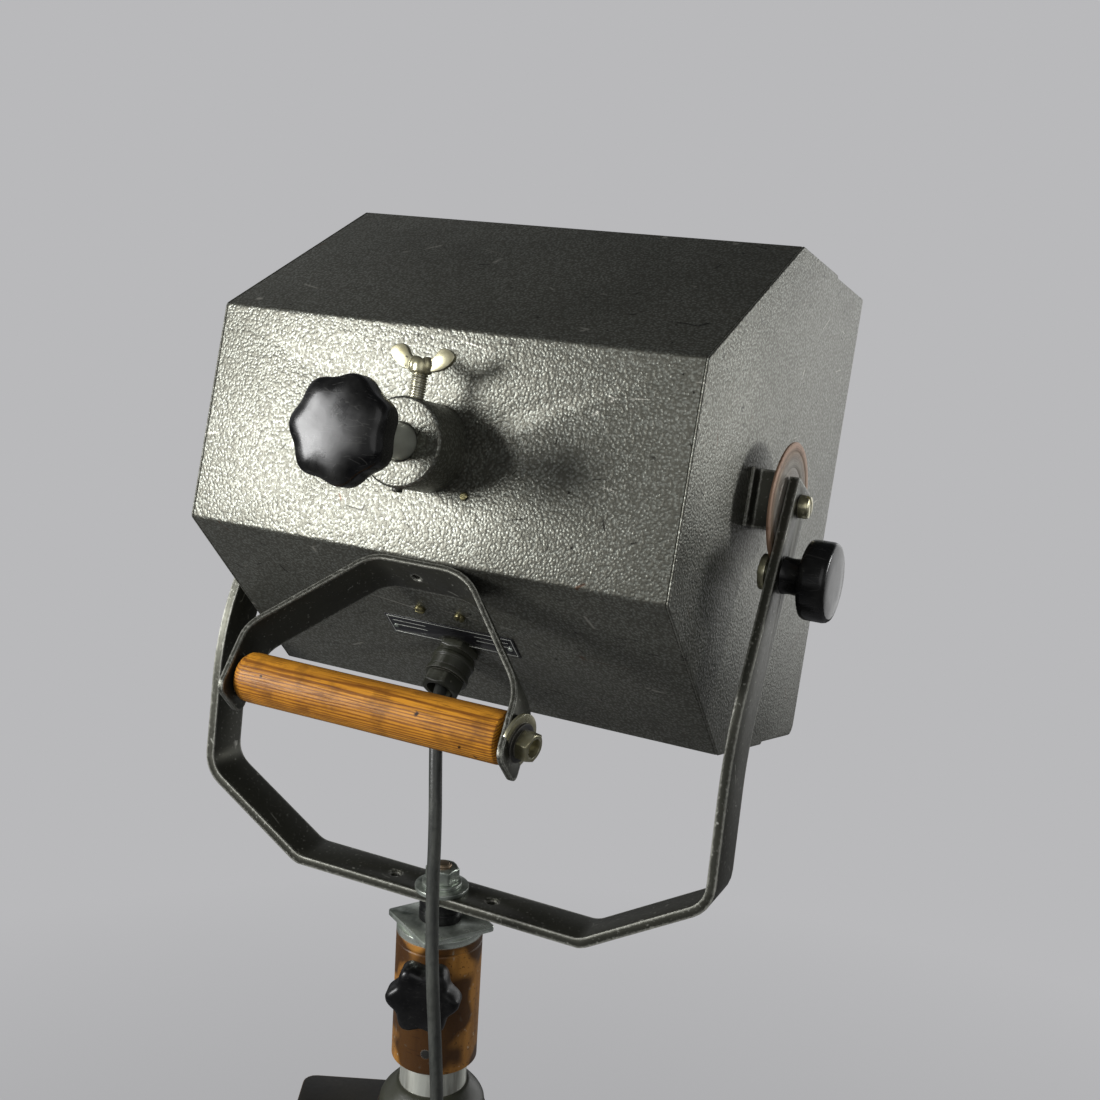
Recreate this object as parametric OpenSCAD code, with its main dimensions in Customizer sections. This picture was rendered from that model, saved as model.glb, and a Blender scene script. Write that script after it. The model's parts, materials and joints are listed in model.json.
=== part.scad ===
// Tripod spotlight floor lamp.
// +Z is up, the light shines towards -Y, and the floor is Z = 0.
// The origin is the middle of the stand's footprint, and the mast stands axis_y behind it.

/* [Lamp head] */
// Width of the casing over its side plates
head_w = 277; // [270:1:284]
// Height of the casing's flat back
back_h = 116.5; // [110:0.5:122]
// Height of the casing in front of its slopes
head_h = 274; // [268:1:280]
// Depth of the casing from back to front
head_d = 256; // [250:1:262]
// Depth at which the slopes end
slope_d = 118; // [112:1:122]
// Depth at which the bent sheet ends and the front frame begins
wrap_d = 191; // [186:1:194]
// Thickness of the casing's sheet
sheet = 1.5; // [1.2:0.1:1.6]
// Diameter of the lens opening in the front frame
aperture = 216; // [210:1:218]
// Angle of the beam below level at rest
beam_down = 13.9; // [10:0.1:20]

/* [Yoke] */
// Width of the yoke over its arms
yoke_w = 319.6; // [318:0.2:322]
// Width of the flat bar that the yoke is bent from
bar_w = 25.5; // [24:0.5:26]
// Thickness of the flat bar
bar_t = 5.2; // [5:0.1:5.4]
// Distance of the tilt pivot in front of the mast axis
pivot_fwd = 78.2; // [76:0.2:80]
// Height of the tilt pivot above the underside of the yoke
pivot_up = 233.4; // [232:0.2:236]

/* [Handle] */
// Width of the handle strap
strap_w = 25; // [22:1:26]
// Thickness of the handle strap
strap_t = 3; // [2.5:0.5:3]
// Diameter of the wooden grip
grip_d = 25; // [24:1:26]

/* [Mast] */
// Outer diameter of the sleeve under the yoke
sleeve_d = 48.3; // [48:0.1:49]
// Outer diameter of the mast tube
mast_d = 38; // [37.5:0.1:38.1]
// Length of the mast tube
mast_l = 690; // [640:10:700]
/* [Stand] */
// Outer diameter of the column that the mast slides in
column_d = 48.3; // [48:0.1:49]
// Height of the lower end of the column
column_z = 378; // [370:1:385]
// Height of the leg pivots
hub_z = 905; // [900:1:910]
// Distance of the leg pivots from the mast axis
hub_r = 58; // [57:1:60]
// Radius of the circle on which the feet stand
foot_r = 478; // [470:1:485]
// Diameter of the leg tubes
leg_d = 25; // [24:1:26]
// Distance along a leg from its pivot to its brace
brace_at = 250; // [240:5:255]

/* [Cord] */
// Diameter of the rubber lead
cord_d = 7; // [6.5:0.5:7]

/* [Hidden] */
$fn = 64;
fit = 0.05;       // radial clearance of a running fit
gap = 0.3;        // gap between faces that slide past each other

// The mast axis, behind the middle of the footprint, and the underside of the yoke
axis_y = 119.5;
yoke_z = 1150;

// Lamp head, in a frame at its tilt pivot: y points back, z up, x across
pivot_d = 115;    // the pivot's depth from the back face
back_y = pivot_d;
front_y = pivot_d - head_d;
wrap_y = pivot_d - wrap_d;
ridge_y = pivot_d - slope_d;
side_x = head_w / 2;
CASE = [[back_y, -back_h / 2], [back_y, back_h / 2], [ridge_y, head_h / 2],
        [front_y, head_h / 2], [front_y, -head_h / 2], [ridge_y + 4, -head_h / 2]];
// The lower slope: from the back edge, "along" it and "off" it
slope_from = CASE[0];
slope_along = unit(CASE[5] - CASE[0]);
slope_off = left_of(slope_along);
slope_turn = atan2(slope_off.y, slope_off.x);
gland_s = 83;     // the gland's place along the slope
boss_z = -2.5;
boss_l = 29.5;
wing_y = 20.5;    // from the back face to the wing screw, clear of its turning wings
rod_d = 18;
rail_z = -45;     // height of the guide rails
rail_x = 55;      // their distance from the middle

// Arms and pivots, across
arm_x = yoke_w / 2;
arm_in = arm_x - bar_t;
hat_x = 151.2;    // outer face of the pivot bracket
disc_t = 2.5;
disc_rim = 1.3;
disc_d = 66;
brake_l = 38;     // from the pivot to the tilt knob

// Yoke, seen from the side, in the mast frame with z from its underside
knee = [-14.7, 119.6];
arm_dir = unit([-pivot_fwd, pivot_up] - knee);
brake_at = [-pivot_fwd, pivot_up] - arm_dir * brake_l;

// Stack on the mast, heights from the underside of the yoke
spacer_t = 12;
plate_t = 3;
cap_t = 4;
cap_z = -spacer_t - plate_t - cap_t;
sleeve_l = 77;
sleeve_knob_z = -38.5;
sleeve_knob_az = 109;  // azimuth of the knob, towards the back of the lamp
mast_top = -28;
block_z = -129.5;
block_h = 62;
clamp_az = 25;    // azimuth of the clamp arm
clamp_z = -167;

// Legs
foot_h = 12;      // height of the end of a leg tube at the middle of its foot
leg_angle = atan((foot_r - hub_r) / (hub_z - foot_h));
leg_l = norm([foot_r - hub_r, hub_z - foot_h]);
lug_in = 20;      // from the leg's middle line to the brace pivot
brace_l = brace_at;
runner_r = hub_r - lug_in;
lug_r = hub_r + brace_at * sin(leg_angle) - lug_in * cos(leg_angle);
lug_z = hub_z - brace_at * cos(leg_angle) - lug_in * sin(leg_angle);
brace_angle = asin((lug_r - runner_r) / brace_l);
runner_z = lug_z - brace_l * cos(brace_angle);
FRONT = 270;      // azimuths of the three legs
LEFT = 30;
RIGHT = 150;

// The lead's route by hand, from inside the gland down to the coil, in the mast frame.
// Points 0 to on_yoke hang from the head, then to on_mast beside the sleeve and the mast.
on_yoke = 7;
on_mast = 16;
ROUTE = [[0, 0.2, 1285.5], [0, 7.5, 1279], [-0.5, 13, 1274], [-3.5, 20.5, 1265.5],
         [-8, 28, 1253], [-11.5, 33, 1237], [-14.5, 36.8, 1219], [-16.5, 39.5, 1200],
         [-18, 42, 1182], [-20, 44.5, 1163], [-22.5, 47.5, 1145], [-25.5, 50, 1125],
         [-28, 51, 1105], [-29.8, 51, 1085], [-31, 50.4, 1065], [-31.4, 50, 1045],
         [-31.5, 50, 1025], [-31.5, 50, 1005], [-31.8, 50.3, 975], [-32.4, 51, 930],
         [-33.2, 52, 880], [-33.8, 53, 820], [-33.6, 54, 750], [-32.8, 54.6, 670],
         [-31.8, 54.6, 590], [-31, 54.2, 500], [-30.6, 53.8, 400], [-30.4, 53.6, 300],
         [-30.2, 53.6, 220], [-30, 53.7, 160], [-30, 54, 110], [-30, 55, 75],
         [-30, 58.5, 48], [-30, 66, 27], [-30, 79, 12], [-30, 95, 5.6], [-30, 112, 4.9]];
coil_turns = 3;   // in each of the coil's two layers

// ---------- Small functions ----------

function unit(v) = v / norm(v);

// Points that round the corner b of the path a-b-c
function corner(a, b, c, r, n = 4) = r == 0 ? [b] :
    let (u = unit(a - b), v = unit(c - b), half = acos(u * v) / 2,
         middle = b + unit(u + v) * r / sin(half),
         p = b + u * r / tan(half) - middle, q = b + v * r / tan(half) - middle,
         from = atan2(p.y, p.x), raw = atan2(q.y, q.x) - from,
         turn = raw > 180 ? raw - 360 : raw < -180 ? raw + 360 : raw)
    [for (i = [0:n]) middle + r * [cos(from + turn * i / n), sin(from + turn * i / n)]];

// A closed outline with its corners rounded, one radius for each
function rounded(p, r, n = 4) = let (k = len(p))
    [for (i = [0:k - 1]) each corner(p[(i + k - 1) % k], p[i], p[(i + 1) % k], r[i], n)];

// An open path with its bends rounded, one radius for each point
function bent(p, r, n = 5) = [for (i = [0:len(p) - 1]) each
    i == 0 || i == len(p) - 1 ? [p[i]] : corner(p[i - 1], p[i], p[i + 1], r[i], n)];

function left_of(v) = [-v.y, v.x];

// A path moved sideways, to the left of its direction
function beside(p, d) = let (k = len(p) - 1)
    [for (i = [0:k])
        let (a = left_of(unit(p[max(i, 1)] - p[max(i, 1) - 1])),
             b = left_of(unit(p[min(i, k - 1) + 1] - p[min(i, k - 1)])))
        p[i] + d * (a + b) / (1 + a * b)];

// A closed outline, listed anticlockwise, moved inwards
function inset(p, d) = let (k = len(p))
    [for (i = [0:k - 1])
        let (a = left_of(unit(p[i] - p[(i + k - 1) % k])), b = left_of(unit(p[(i + 1) % k] - p[i])))
        p[i] + d * (a + b) / (1 + a * b)];

function reversed(p) = [for (i = [len(p) - 1:-1:0]) p[i]];

// The outline of a strip between two distances left of a path
function strip(p, from, to) = concat(beside(p, from), reversed(beside(p, to)));

// A wavy outline with rounded lobes
function lobed(r, wave, lobes, per = 10) =
    [for (i = [0:per * lobes - 1]) let (a = i * 360 / (per * lobes))
        (r + wave * cos(lobes * a)) * [cos(a), sin(a)]];

// ---------- Frames ----------

module in_mast() translate([0, axis_y, 0]) children();
module in_yoke() translate([0, axis_y, yoke_z]) children();
module in_head()
    translate([0, axis_y - pivot_fwd, yoke_z + pivot_up]) rotate([beam_down, 0, 0]) children();

// A profile in y and z, drawn across between two places on x
module across(from, to) translate([from, 0, 0]) rotate([90, 0, 90])
    linear_extrude(to - from) children();

// A frame on the lower slope: x across, y along the slope to the front, z square off it
module on_slope(along, x = 0)
    translate([x, slope_from.x, slope_from.y] + along * [0, slope_along.x, slope_along.y])
    rotate([slope_turn - 90, 0, 0]) children();

module mirrored() {
    children();
    mirror([1, 0, 0]) children();
}

// A tube standing on z = 0
module tube(outer, inner, h) difference() {
    cylinder(d = outer, h = h);
    translate([0, 0, -1]) cylinder(d = inner, h = h + 2);
}

// A hexagon nut or head standing on z = 0, with its corners turned off
module hexagon(flats, h, hole = 0) difference() {
    cylinder(d = flats / cos(30), h = h, $fn = 6);
    if (hole > 0) translate([0, 0, -1]) cylinder(d = hole, h = h + 2);
}

// A lobed knob with a rounded face: z = 0 is its back
module lobed_knob(r, wave, lobes, h, edge) intersection() {
    linear_extrude(h) polygon(lobed(r, wave, lobes));
    rotate_extrude() polygon([[0, 0], [r + wave - edge / 2, 0], [r + wave, edge / 2],
        [r + wave, h - edge], [r + wave - edge * 0.3, h - edge * 0.35], [r + wave - edge, h], [0, h]]);
}

// ---------- Lamp head ----------

module vent_slots(z) for (i = [-5:5]) translate([i * 20, ridge_y - 36, z])
    cube([6, 46, 3 * sheet], center = true);

module casing_wrap() color("dimgray") in_head() difference() {
    across(-side_x + sheet, side_x - sheet) polygon(rounded(CASE, [3, 3, 3, 0, 0, 3]));
    across(-side_x, side_x) polygon(inset(CASE, sheet));
    translate([-side_x, front_y - 1, -head_h]) cube([head_w, wrap_y - front_y + 1, 2 * head_h]);
    translate([0, back_y + 1, boss_z]) rotate([90, 0, 0]) cylinder(d = rod_d + 4, h = 4);
    on_slope(gland_s) translate([0, 0, -4]) cylinder(d = 16, h = 8);
    vent_slots(head_h / 2);
    vent_slots(-head_h / 2);
}

module side_plates() color("gray") in_head() mirrored() across(side_x - sheet, side_x)
    polygon(rounded([CASE[0], CASE[1], CASE[2],
        [wrap_y, head_h / 2], [wrap_y - 2, head_h / 2 - sheet], [front_y, head_h / 2 - sheet],
        [front_y, -head_h / 2 + sheet], [wrap_y - 2, -head_h / 2 + sheet], [wrap_y, -head_h / 2],
        CASE[5]], [3, 3, 3, 0, 0, 2, 7, 0, 0, 3]));

module front_frame() color("dimgray") in_head() {
    high = head_h / 2 - sheet;
    wide = side_x - sheet;
    depth = wrap_y + 3 - front_y;
    difference() {
        translate([-wide, front_y, -high]) cube([2 * wide, depth, 2 * high]);
        translate([-wide + sheet, front_y + sheet, -high + sheet])
            cube([2 * (wide - sheet), depth, 2 * (high - sheet)]);
        translate([0, front_y + sheet + 1, 0]) rotate([90, 0, 0])
            cylinder(d = aperture, h = sheet + 2);
    }
}

// The stepped face of a Fresnel lens: rings whose slope grows outwards
module lens() color("lightcyan", 0.5) in_head() translate([0, front_y + 8, 0]) rotate([90, 0, 0])
    rotate_extrude($fn = 96) {
        rings = 11;
        rim = aperture / 2 - 1;
        ring_w = 9;
        polygon(concat([[0, 0], [rim, 0], [rim, 5], [rings * ring_w, 5]],
            [for (i = [rings - 1:-1:1]) each
                [[(i + 1) * ring_w - 0.01, 5], [i * ring_w, 5.4 + 0.24 * i]]],
            [[ring_w - 0.01, 5], [0, 5.4]]));
    }

module lens_ring() color("black") in_head() translate([0, front_y, 0]) rotate([90, 0, 0])
    difference() {
        union() {
            tube(aperture + 18, aperture - 12, 3);
            for (i = [0:5]) rotate(i * 60 + 30) translate([aperture / 2 + 4.5, 0, 2.5])
                cylinder(d = 6, h = 2, $fn = 24);
        }
        for (i = [0:5]) rotate(i * 60 + 30) translate([aperture / 2 + 4.5, 0, 3.6])
            cube([8, 1, 2], center = true);
    }

// Three channels that hold a colour frame in front of the lens
module filter_runners() color("dimgray") in_head() {
    slot = 10;
    inner = 119;
    web = 131;
    channel = strip([[inner, 0], [web, 0], [web, -slot - 2 * sheet], [inner, -slot - 2 * sheet]],
        -sheet, 0);
    low = -web + 12;
    mirrored() translate([0, front_y, low]) linear_extrude(2 * web - 24) polygon(channel);
    translate([0, front_y, 0]) rotate([0, 90, 0]) translate([0, 0, low + 12])
        linear_extrude(2 * web - 48) polygon(channel);
}

module vent_baffles() color("dimgray") in_head() for (side = [-1, 1])
    translate([0, ridge_y - 36, side * (head_h / 2 - 16)]) {
        cube([224, 66, sheet], center = true);
        for (x = [-100, 0, 100]) translate([x - 4, -32, side > 0 ? 0 : -16 + sheet])
            cube([8, sheet, 16 - sheet]);
    }

module guide_frame() color("silver") in_head() {
    front = wrap_y + 6;
    back = back_y - sheet;
    for (x = [-rail_x, rail_x]) translate([x, back, rail_z]) rotate([90, 0, 0])
        cylinder(d = 8, h = back - front + sheet);
    translate([-side_x + sheet, front - sheet, rail_z - 10]) cube([head_w - 2 * sheet, sheet, 20]);
}

module focus_boss() color("gray") in_head() translate([0, back_y + boss_l, boss_z])
    rotate([90, 0, 0]) difference() {
        cylinder(d = 45, h = boss_l);
        translate([0, 0, -1]) cylinder(d = rod_d + 2 * fit, h = boss_l + 2);
        translate([0, 0, boss_l - wing_y]) rotate([-90, 0, 0]) cylinder(d = 8.2, h = 30);
    }

module slotted_head(d, h) difference() {
    cylinder(d = d, h = h, $fn = 32);
    translate([0, 0, h]) cube([d + 2, d / 7, h * 0.7], center = true);
}

module case_screws() color("goldenrod") in_head() {
    for (x = [-12, 12]) on_slope(48, x) slotted_head(6, 2.2);
    for (x = [-35, 35]) on_slope(70.6, x) translate([0, 0, 0.5]) cylinder(d = 3, h = 0.8, $fn = 24);
    translate([0, back_y + 24, boss_z - 22.5]) rotate([180, 0, 0]) slotted_head(6, 2.4);
    translate([-24, back_y, -23.5]) rotate([-90, 0, 0]) slotted_head(4.4, 1.5);
}

STRAP = [[64.5, 93], [69, 55.5], [22.5, 1.5], [-32, 1.5], [-84, 56.5], [-90, 93]];
STRAP_BENDS = [0, 16, 18, 32, 30, 0];
strap_round = 6;
strap_y = strap_w / 2 + 0.4;
grip_up = 77;
grip_l = 146.8;

// Where the strap's outer face crosses the grip's axis, and its slant there, from two points
function strap_at(a, b) = a.x + (b.x - a.x) * (grip_up - a.y) / (b.y - a.y);
slant_left = atan((STRAP[1].x - STRAP[0].x) / (STRAP[0].y - STRAP[1].y));
slant_right = atan((STRAP[4].x - STRAP[5].x) / (STRAP[5].y - STRAP[4].y));
strap_left = strap_at(STRAP[0], STRAP[1]) + strap_t / 2 / cos(slant_left);
strap_right = strap_at(STRAP[5], STRAP[4]) - strap_t / 2 / cos(slant_right);

module handle_strap() color("dimgray") in_head() on_slope(strap_y) difference() {
    intersection() {
        rotate([90, 0, 0]) translate([0, 0, -strap_w / 2]) linear_extrude(strap_w)
            polygon(strip(bent(STRAP, STRAP_BENDS), -strap_t / 2, strap_t / 2));
        side = strap_w / 2;
        across(-100, 80) polygon(bent([[-side, -5], [-side, STRAP[0].y], [side, STRAP[0].y],
            [side, -5]], [0, strap_round, strap_round, 0]));
    }
    translate([0, 0, -1]) cylinder(d = 5, h = 5);
    for (x = [-100, 55]) translate([x, 0, grip_up]) rotate([0, 90, 0]) cylinder(d = 8.4, h = 45);
}

module handle_grip() color("peru") in_head() on_slope(strap_y) translate([-83.6, 0, grip_up])
    rotate([0, 90, 0]) rotate_extrude() polygon([[4.2, 0], [grip_d / 2 - 1.5, 0],
        [grip_d / 2, 1.5], [grip_d / 2, grip_l - 5.5], [grip_d / 2 - 1.2, grip_l - 2.2],
        [grip_d / 2 - 4, grip_l], [4.2, grip_l]]);

module handle_bolt() color("khaki") in_head() on_slope(strap_y) translate([0, 0, grip_up]) {
    translate([-94, 0, 0]) rotate([0, 90, 0]) cylinder(d = 8, h = 164);
    translate([strap_left, 0, 0]) rotate([0, 90 - slant_left, 0]) rotate_extrude()
        polygon([[0, 0], [8, 0], [7.6, 2.2], [6, 3.8], [3.2, 4.8], [0, 5]]);
    translate([strap_right, 0, 0]) rotate([0, -90 - slant_right, 0]) {
        tube(27, 9, 1.8);
        translate([0, 0, 1.8]) tube(19, 9, 1.5);
        translate([0, 0, 3.3]) hexagon(13, 6.8, 9);
    }
}

module label_plate() color("black") in_head() on_slope(69) difference() {
    translate([-39, -9, 0]) cube([78, 18, 0.5]);
    for (x = [-35, 35]) translate([x, 1.6, -1]) cylinder(d = 2.6, h = 3, $fn = 24);
    translate([0, gland_s - 69, -1]) cylinder(d = 26, h = 3);
}

module gland_body() color("darkolivegreen") in_head() on_slope(gland_s) difference() {
    union() {
        hexagon(21, 5);
        cylinder(d = 22.5, h = 16);
        translate([0, 0, 8]) cylinder(d = 24, h = 2.4);
    }
    translate([0, 0, 10]) cylinder(d = cord_d + 0.8, h = 21);
}

module gland_nut() color("darkolivegreen") in_head() on_slope(gland_s) translate([0, 0, 16])
    difference() {
        union() {
            cylinder(d = 24, h = 3);
            translate([0, 0, 3]) hexagon(20, 8);
        }
        translate([0, 0, -1]) cylinder(d = cord_d + 0.8, h = 6);
        translate([0, 0, 4]) cylinder(d = 15, h = 9);
    }

// A bent hat that stands the pivot off the side plate, with its nut welded inside
module pivot_brackets() color("dimgray") in_head() mirrored() difference() {
    hat_t = 2;
    top = hat_x - hat_t;
    union() {
        translate([0, 0, -15]) linear_extrude(31) polygon(strip(bent([[side_x, -26], [side_x, -14],
            [top, -14], [top, 14], [side_x, 14], [side_x, 26]], [0, 3, 2, 2, 3, 0]), -hat_t, 0));
        translate([top - 7, 0, 0]) rotate([0, 90, 0]) hexagon(17, 7.5);
    }
    translate([hat_x - 20, 0, 0]) rotate([0, 90, 0]) cylinder(d = 10, h = 30);
}

module friction_disc() color("tan") in_head() mirror([1, 0, 0]) translate([hat_x, 0, 0])
    rotate([0, 90, 0]) difference() {
        union() {
            translate([0, 0, disc_t - disc_rim]) cylinder(d = disc_d, h = disc_rim, $fn = 96);
            cylinder(d = disc_d - 22, h = disc_t, $fn = 96);
        }
        translate([0, 0, -1]) cylinder(d = 10, h = disc_t + 2);
    }

// The pivot screws, with a plain washer on the side that has no friction disc
module pivot_screws() color("khaki") in_head() {
    shank = arm_x + gap - hat_x + 9;
    mirrored() translate([hat_x - 9, 0, 0]) rotate([0, 90, 0]) {
        cylinder(d = 10, h = shank);
        translate([0, 0, shank]) slotted_head(12.5, 5.6);
    }
    translate([hat_x, 0, 0]) rotate([0, 90, 0]) cylinder(d = 22, h = arm_in - gap - hat_x);
}

// ---------- Lamp carriage ----------

rod_out = 70;     // from the back face to the back of the focus knob

module focus_rod() color("silver") in_head() translate([0, back_y + rod_out + 8, boss_z])
    rotate([90, 0, 0]) cylinder(d = rod_d, h = 8 + rod_out + 68);

module focus_knob() color("black") in_head() translate([0, back_y + rod_out, boss_z])
    rotate([-90, 0, 0]) difference() {
        union() {
            lobed_knob(25.1, 1.3, 7, 19, 4);
            cylinder(d = 26, h = 6);
        }
        translate([0, 0, -1]) cylinder(d = rod_d, h = 9);
    }

carriage_y = back_y - 68;
carriage_l = 70;

module lamp_carriage() color("silver") in_head() difference() {
    union() {
        translate([-70, carriage_y - carriage_l, rail_z + 8]) cube([140, carriage_l, sheet]);
        translate([-40, carriage_y - sheet, rail_z + 8]) cube([80, sheet, 84]);
        for (x = [-rail_x, rail_x]) translate([x, carriage_y, rail_z]) rotate([90, 0, 0])
            tube(16.4, 8 + 2 * fit, carriage_l);
    }
    translate([0, carriage_y + 1, boss_z]) rotate([90, 0, 0]) cylinder(d = 8, h = 4);
}

mirror_r = 46;    // radius of the mirror's curve, with the bulb at its centre
bulb_y = carriage_y - sheet - 4 - mirror_r;
seat_z = rail_z + 8 + sheet;

module lamp_holder() color("ivory") in_head() translate([0, bulb_y, seat_z]) difference() {
    translate([-19, -14, 0]) cube([38, 28, 16]);
    for (x = [-7, 7]) translate([x, 0, 6]) cylinder(d = 4, h = 20, $fn = 24);
}

module bulb() color("whitesmoke", 0.6) in_head() translate([0, bulb_y, seat_z + 16]) {
    translate([0, 0, 13]) rotate_extrude() polygon([[0, 0], [9, 0], [11.5, 3], [11.5, 34],
        [9.5, 39], [5, 42.5], [0, 43.5]]);
    translate([-12, -5, 3]) cube([24, 10, 10.2]);
    for (x = [-7, 7]) translate([x, 0, -8]) cylinder(d = 3, h = 12, $fn = 24);
}

// A dished mirror behind the bulb, on a short stem
module reflector() color("gainsboro") in_head()
    translate([0, carriage_y - sheet, 6]) rotate([90, 0, 0]) {
        shell = 1.2;
        back_r = mirror_r + shell;
        translate([0, 0, 4]) rotate_extrude() polygon(concat(
            [for (a = [0:6:48]) [mirror_r * sin(a), mirror_r * (1 - cos(a))]],
            [for (a = [48:-6:0]) [back_r * sin(a), mirror_r - back_r * cos(a)]]));
        cylinder(d = 14, h = 3);
    }

module wing_screw() color("khaki") in_head() translate([0, back_y + wing_y, boss_z + rod_d / 2 + gap]) {
    cylinder(d = 8, h = 27);
    translate([0, 0, 25]) cylinder(d1 = 14, d2 = 11, h = 9.5);
    wing = bent([[4, 26.4], [9, 26.8], [16.4, 30.6], [18.6, 36], [12, 39.6], [7, 35], [4, 33.6]],
        [0, 3, 2, 2, 2, 3, 0], 3);
    mirrored() rotate([90, 0, 0]) translate([0, 0, -1.5]) linear_extrude(3) polygon(wing);
}

// ---------- Yoke ----------

// The bent bar from the front, cut by its lean and bend seen from the side
module yoke_bar() color("dimgray") in_yoke() difference() {
    intersection() {
        translate([0, 60, 0]) rotate([90, 0, 0]) linear_extrude(220) polygon(strip(bent(
            [[-arm_x, 300], [-arm_x, 39.6], [-90.4, 0], [90.4, 0], [arm_x, 39.6], [arm_x, 300]],
            [0, 20, 20, 20, 20, 0]), 0, bar_t));
        across(-arm_x - 1, arm_x + 1) polygon(strip(bent([[-1.5 + 0.11, -1], knee,
            [-pivot_fwd, pivot_up] + arm_dir * 11.5], [0, 120, 0], 6), -bar_w / 2, bar_w / 2));
    }
    translate([0, 0, -1]) cylinder(d = 10.5, h = 10);
    for (x = [-31, 31]) translate([x, -1.5, -1]) {
        cylinder(d = 5.5, h = 10);
        translate([0, 0, bar_t - 0.2]) cylinder(d1 = 5.5, d2 = 8.5, h = 1.3);
    }
    across(-arm_x - 1, arm_x + 1) translate([-pivot_fwd, pivot_up]) circle(d = 10 + 2 * fit);
    across(-arm_x - 1, -arm_in + 1) translate(brake_at) circle(d = 8 + 2 * fit);
}

module yoke_bolt() color("lightsteelblue") in_yoke() {
    translate([0, 0, cap_z]) cylinder(d = 10, h = 20.5 - cap_z);
    translate([0, 0, cap_z - 6.4]) hexagon(16, 6.4);
    translate([0, 0, bar_t + 4.8]) hexagon(16.6, 8.4, 10);
}

module yoke_washers() color("lightsteelblue") in_yoke() {
    translate([0, 0, bar_t]) tube(30, 10.4, 2.4);
    translate([0, 0, bar_t + 2.4]) tube(22, 10.4, 2.4);
}

module spacer_disc() color("black") in_yoke() translate([0, 0, -spacer_t])
    tube(24, 10.4, spacer_t);

module square_plate() color("lightsteelblue") in_yoke() translate([-1, 1, -spacer_t - plate_t])
    rotate(-31) difference() {
        linear_extrude(plate_t) polygon(rounded([[-22, -22], [22, -22], [22, 22], [-22, 22]],
            [2, 2, 2, 2]));
        translate([0, 0, -1]) cylinder(d = 13, h = plate_t + 2);
    }

module sleeve_cap() color("lightsteelblue") in_yoke() translate([0, 0, cap_z])
    tube(sleeve_d, 10.4, cap_t);

module sleeve() color("saddlebrown") in_yoke() translate([0, 0, cap_z - sleeve_l]) difference() {
    rotate_extrude() polygon([[mast_d / 2 + 0.1, 0], [sleeve_d / 2 - 0.8, 0], [sleeve_d / 2, 0.8],
        [sleeve_d / 2, sleeve_l - 5.5], [sleeve_d / 2 - 0.5, sleeve_l - 5],
        [sleeve_d / 2 - 0.5, sleeve_l - 4.2], [sleeve_d / 2, sleeve_l - 3.7],
        [sleeve_d / 2, sleeve_l], [mast_d / 2 + 0.1, sleeve_l]]);
    translate([0, 0, sleeve_knob_z - cap_z + sleeve_l]) rotate([0, 90, sleeve_knob_az])
        cylinder(d = 8 + 2 * fit, h = 40);
    translate([0, 0, 13]) rotate([0, 90, sleeve_knob_az - 1]) cylinder(d = 5.5, h = 40);
}

module clamp_washer() color("khaki") in_yoke() mirror([1, 0, 0])
    translate([hat_x + disc_t - disc_rim - gap - 3.6, brake_at.x, brake_at.y])
        rotate([0, 90, 0]) tube(19, 8 + 2 * fit, 3.6);

module tilt_knob() color("black") in_yoke() mirror([1, 0, 0])
    translate([hat_x - 4.6, brake_at.x, brake_at.y]) rotate([0, 90, 0]) {
        back = arm_x + gap - hat_x + 4.6;
        face = 187 - hat_x + 4.6;
        cylinder(d = 8, h = back + 2);
        rotate_extrude() polygon([[0, back], [10, back], [9.4, back + 3], [9.8, back + 9],
            [12, back + 11.8], [18.5, back + 12.2], [20.6, back + 13.4], [21, back + 15],
            [21, face - 2.5], [20, face - 0.7], [18, face], [0, face]]);
    }

module sleeve_knob() color("black") in_yoke() translate([0, 0, sleeve_knob_z])
    rotate([0, 90, sleeve_knob_az]) {
        translate([0, 0, mast_d / 2 + gap]) cylinder(d = 8, h = 14);
        translate([0, 0, 29]) cylinder(d1 = 15, d2 = 19, h = 6);
        translate([0, 0, 34]) lobed_knob(18.3, 1.9, 6, 13.5, 4);
    }

// ---------- Mast ----------

module mast_tube() color("silver") in_yoke() translate([0, 0, mast_top - mast_l])
    tube(mast_d, mast_d - 5, mast_l);

// A ring that guides the mast in the column, on a plug in the mast's lower end
module mast_guide() color("dimgray") in_yoke() translate([0, 0, mast_top - mast_l]) difference() {
    union() {
        translate([0, 0, -4]) cylinder(d = column_d - 6.3 - 2 * fit, h = 4);
        translate([0, 0, -4]) cylinder(d = mast_d - 5, h = 34);
    }
    translate([0, 0, -5]) cylinder(d = 20, h = 36);
}

// ---------- Stand ----------

module collar() color("darkolivegreen") in_yoke() translate([0, 0, block_z]) rotate_extrude()
    polygon([[mast_d / 2 + 0.1, 0], [30, 0], [30, 4.5], [29, 7.5], [26.5, 11], [23.5, 14.2],
        [20.8, 16.9], [mast_d / 2 + 0.1, 16.9]]);

clamp_end = 76.5; // reach of the clamp arm from the mast axis
clamp_w = 41;
socket = 18;      // depth of the block's socket for the column

module clamp_block() color("black") in_yoke() translate([0, 0, block_z - block_h]) difference() {
    union() {
        cylinder(d = 62, h = block_h);
        rotate(clamp_az) translate([0, 0, 4]) linear_extrude(block_h - 4.5)
            polygon(rounded([[0, -clamp_w / 2], [clamp_end, -clamp_w / 2],
                [clamp_end, clamp_w / 2], [0, clamp_w / 2]], [0, 7, 7, 0]));
    }
    translate([0, 0, -1]) cylinder(d = mast_d + 4 * fit, h = block_h + 2);
    translate([0, 0, -1]) cylinder(d = column_d, h = socket + 1);
    translate([0, 0, clamp_z - block_z + block_h]) rotate([0, 90, clamp_az])
        cylinder(d = 12 + 2 * fit, h = 100);
}

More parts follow.
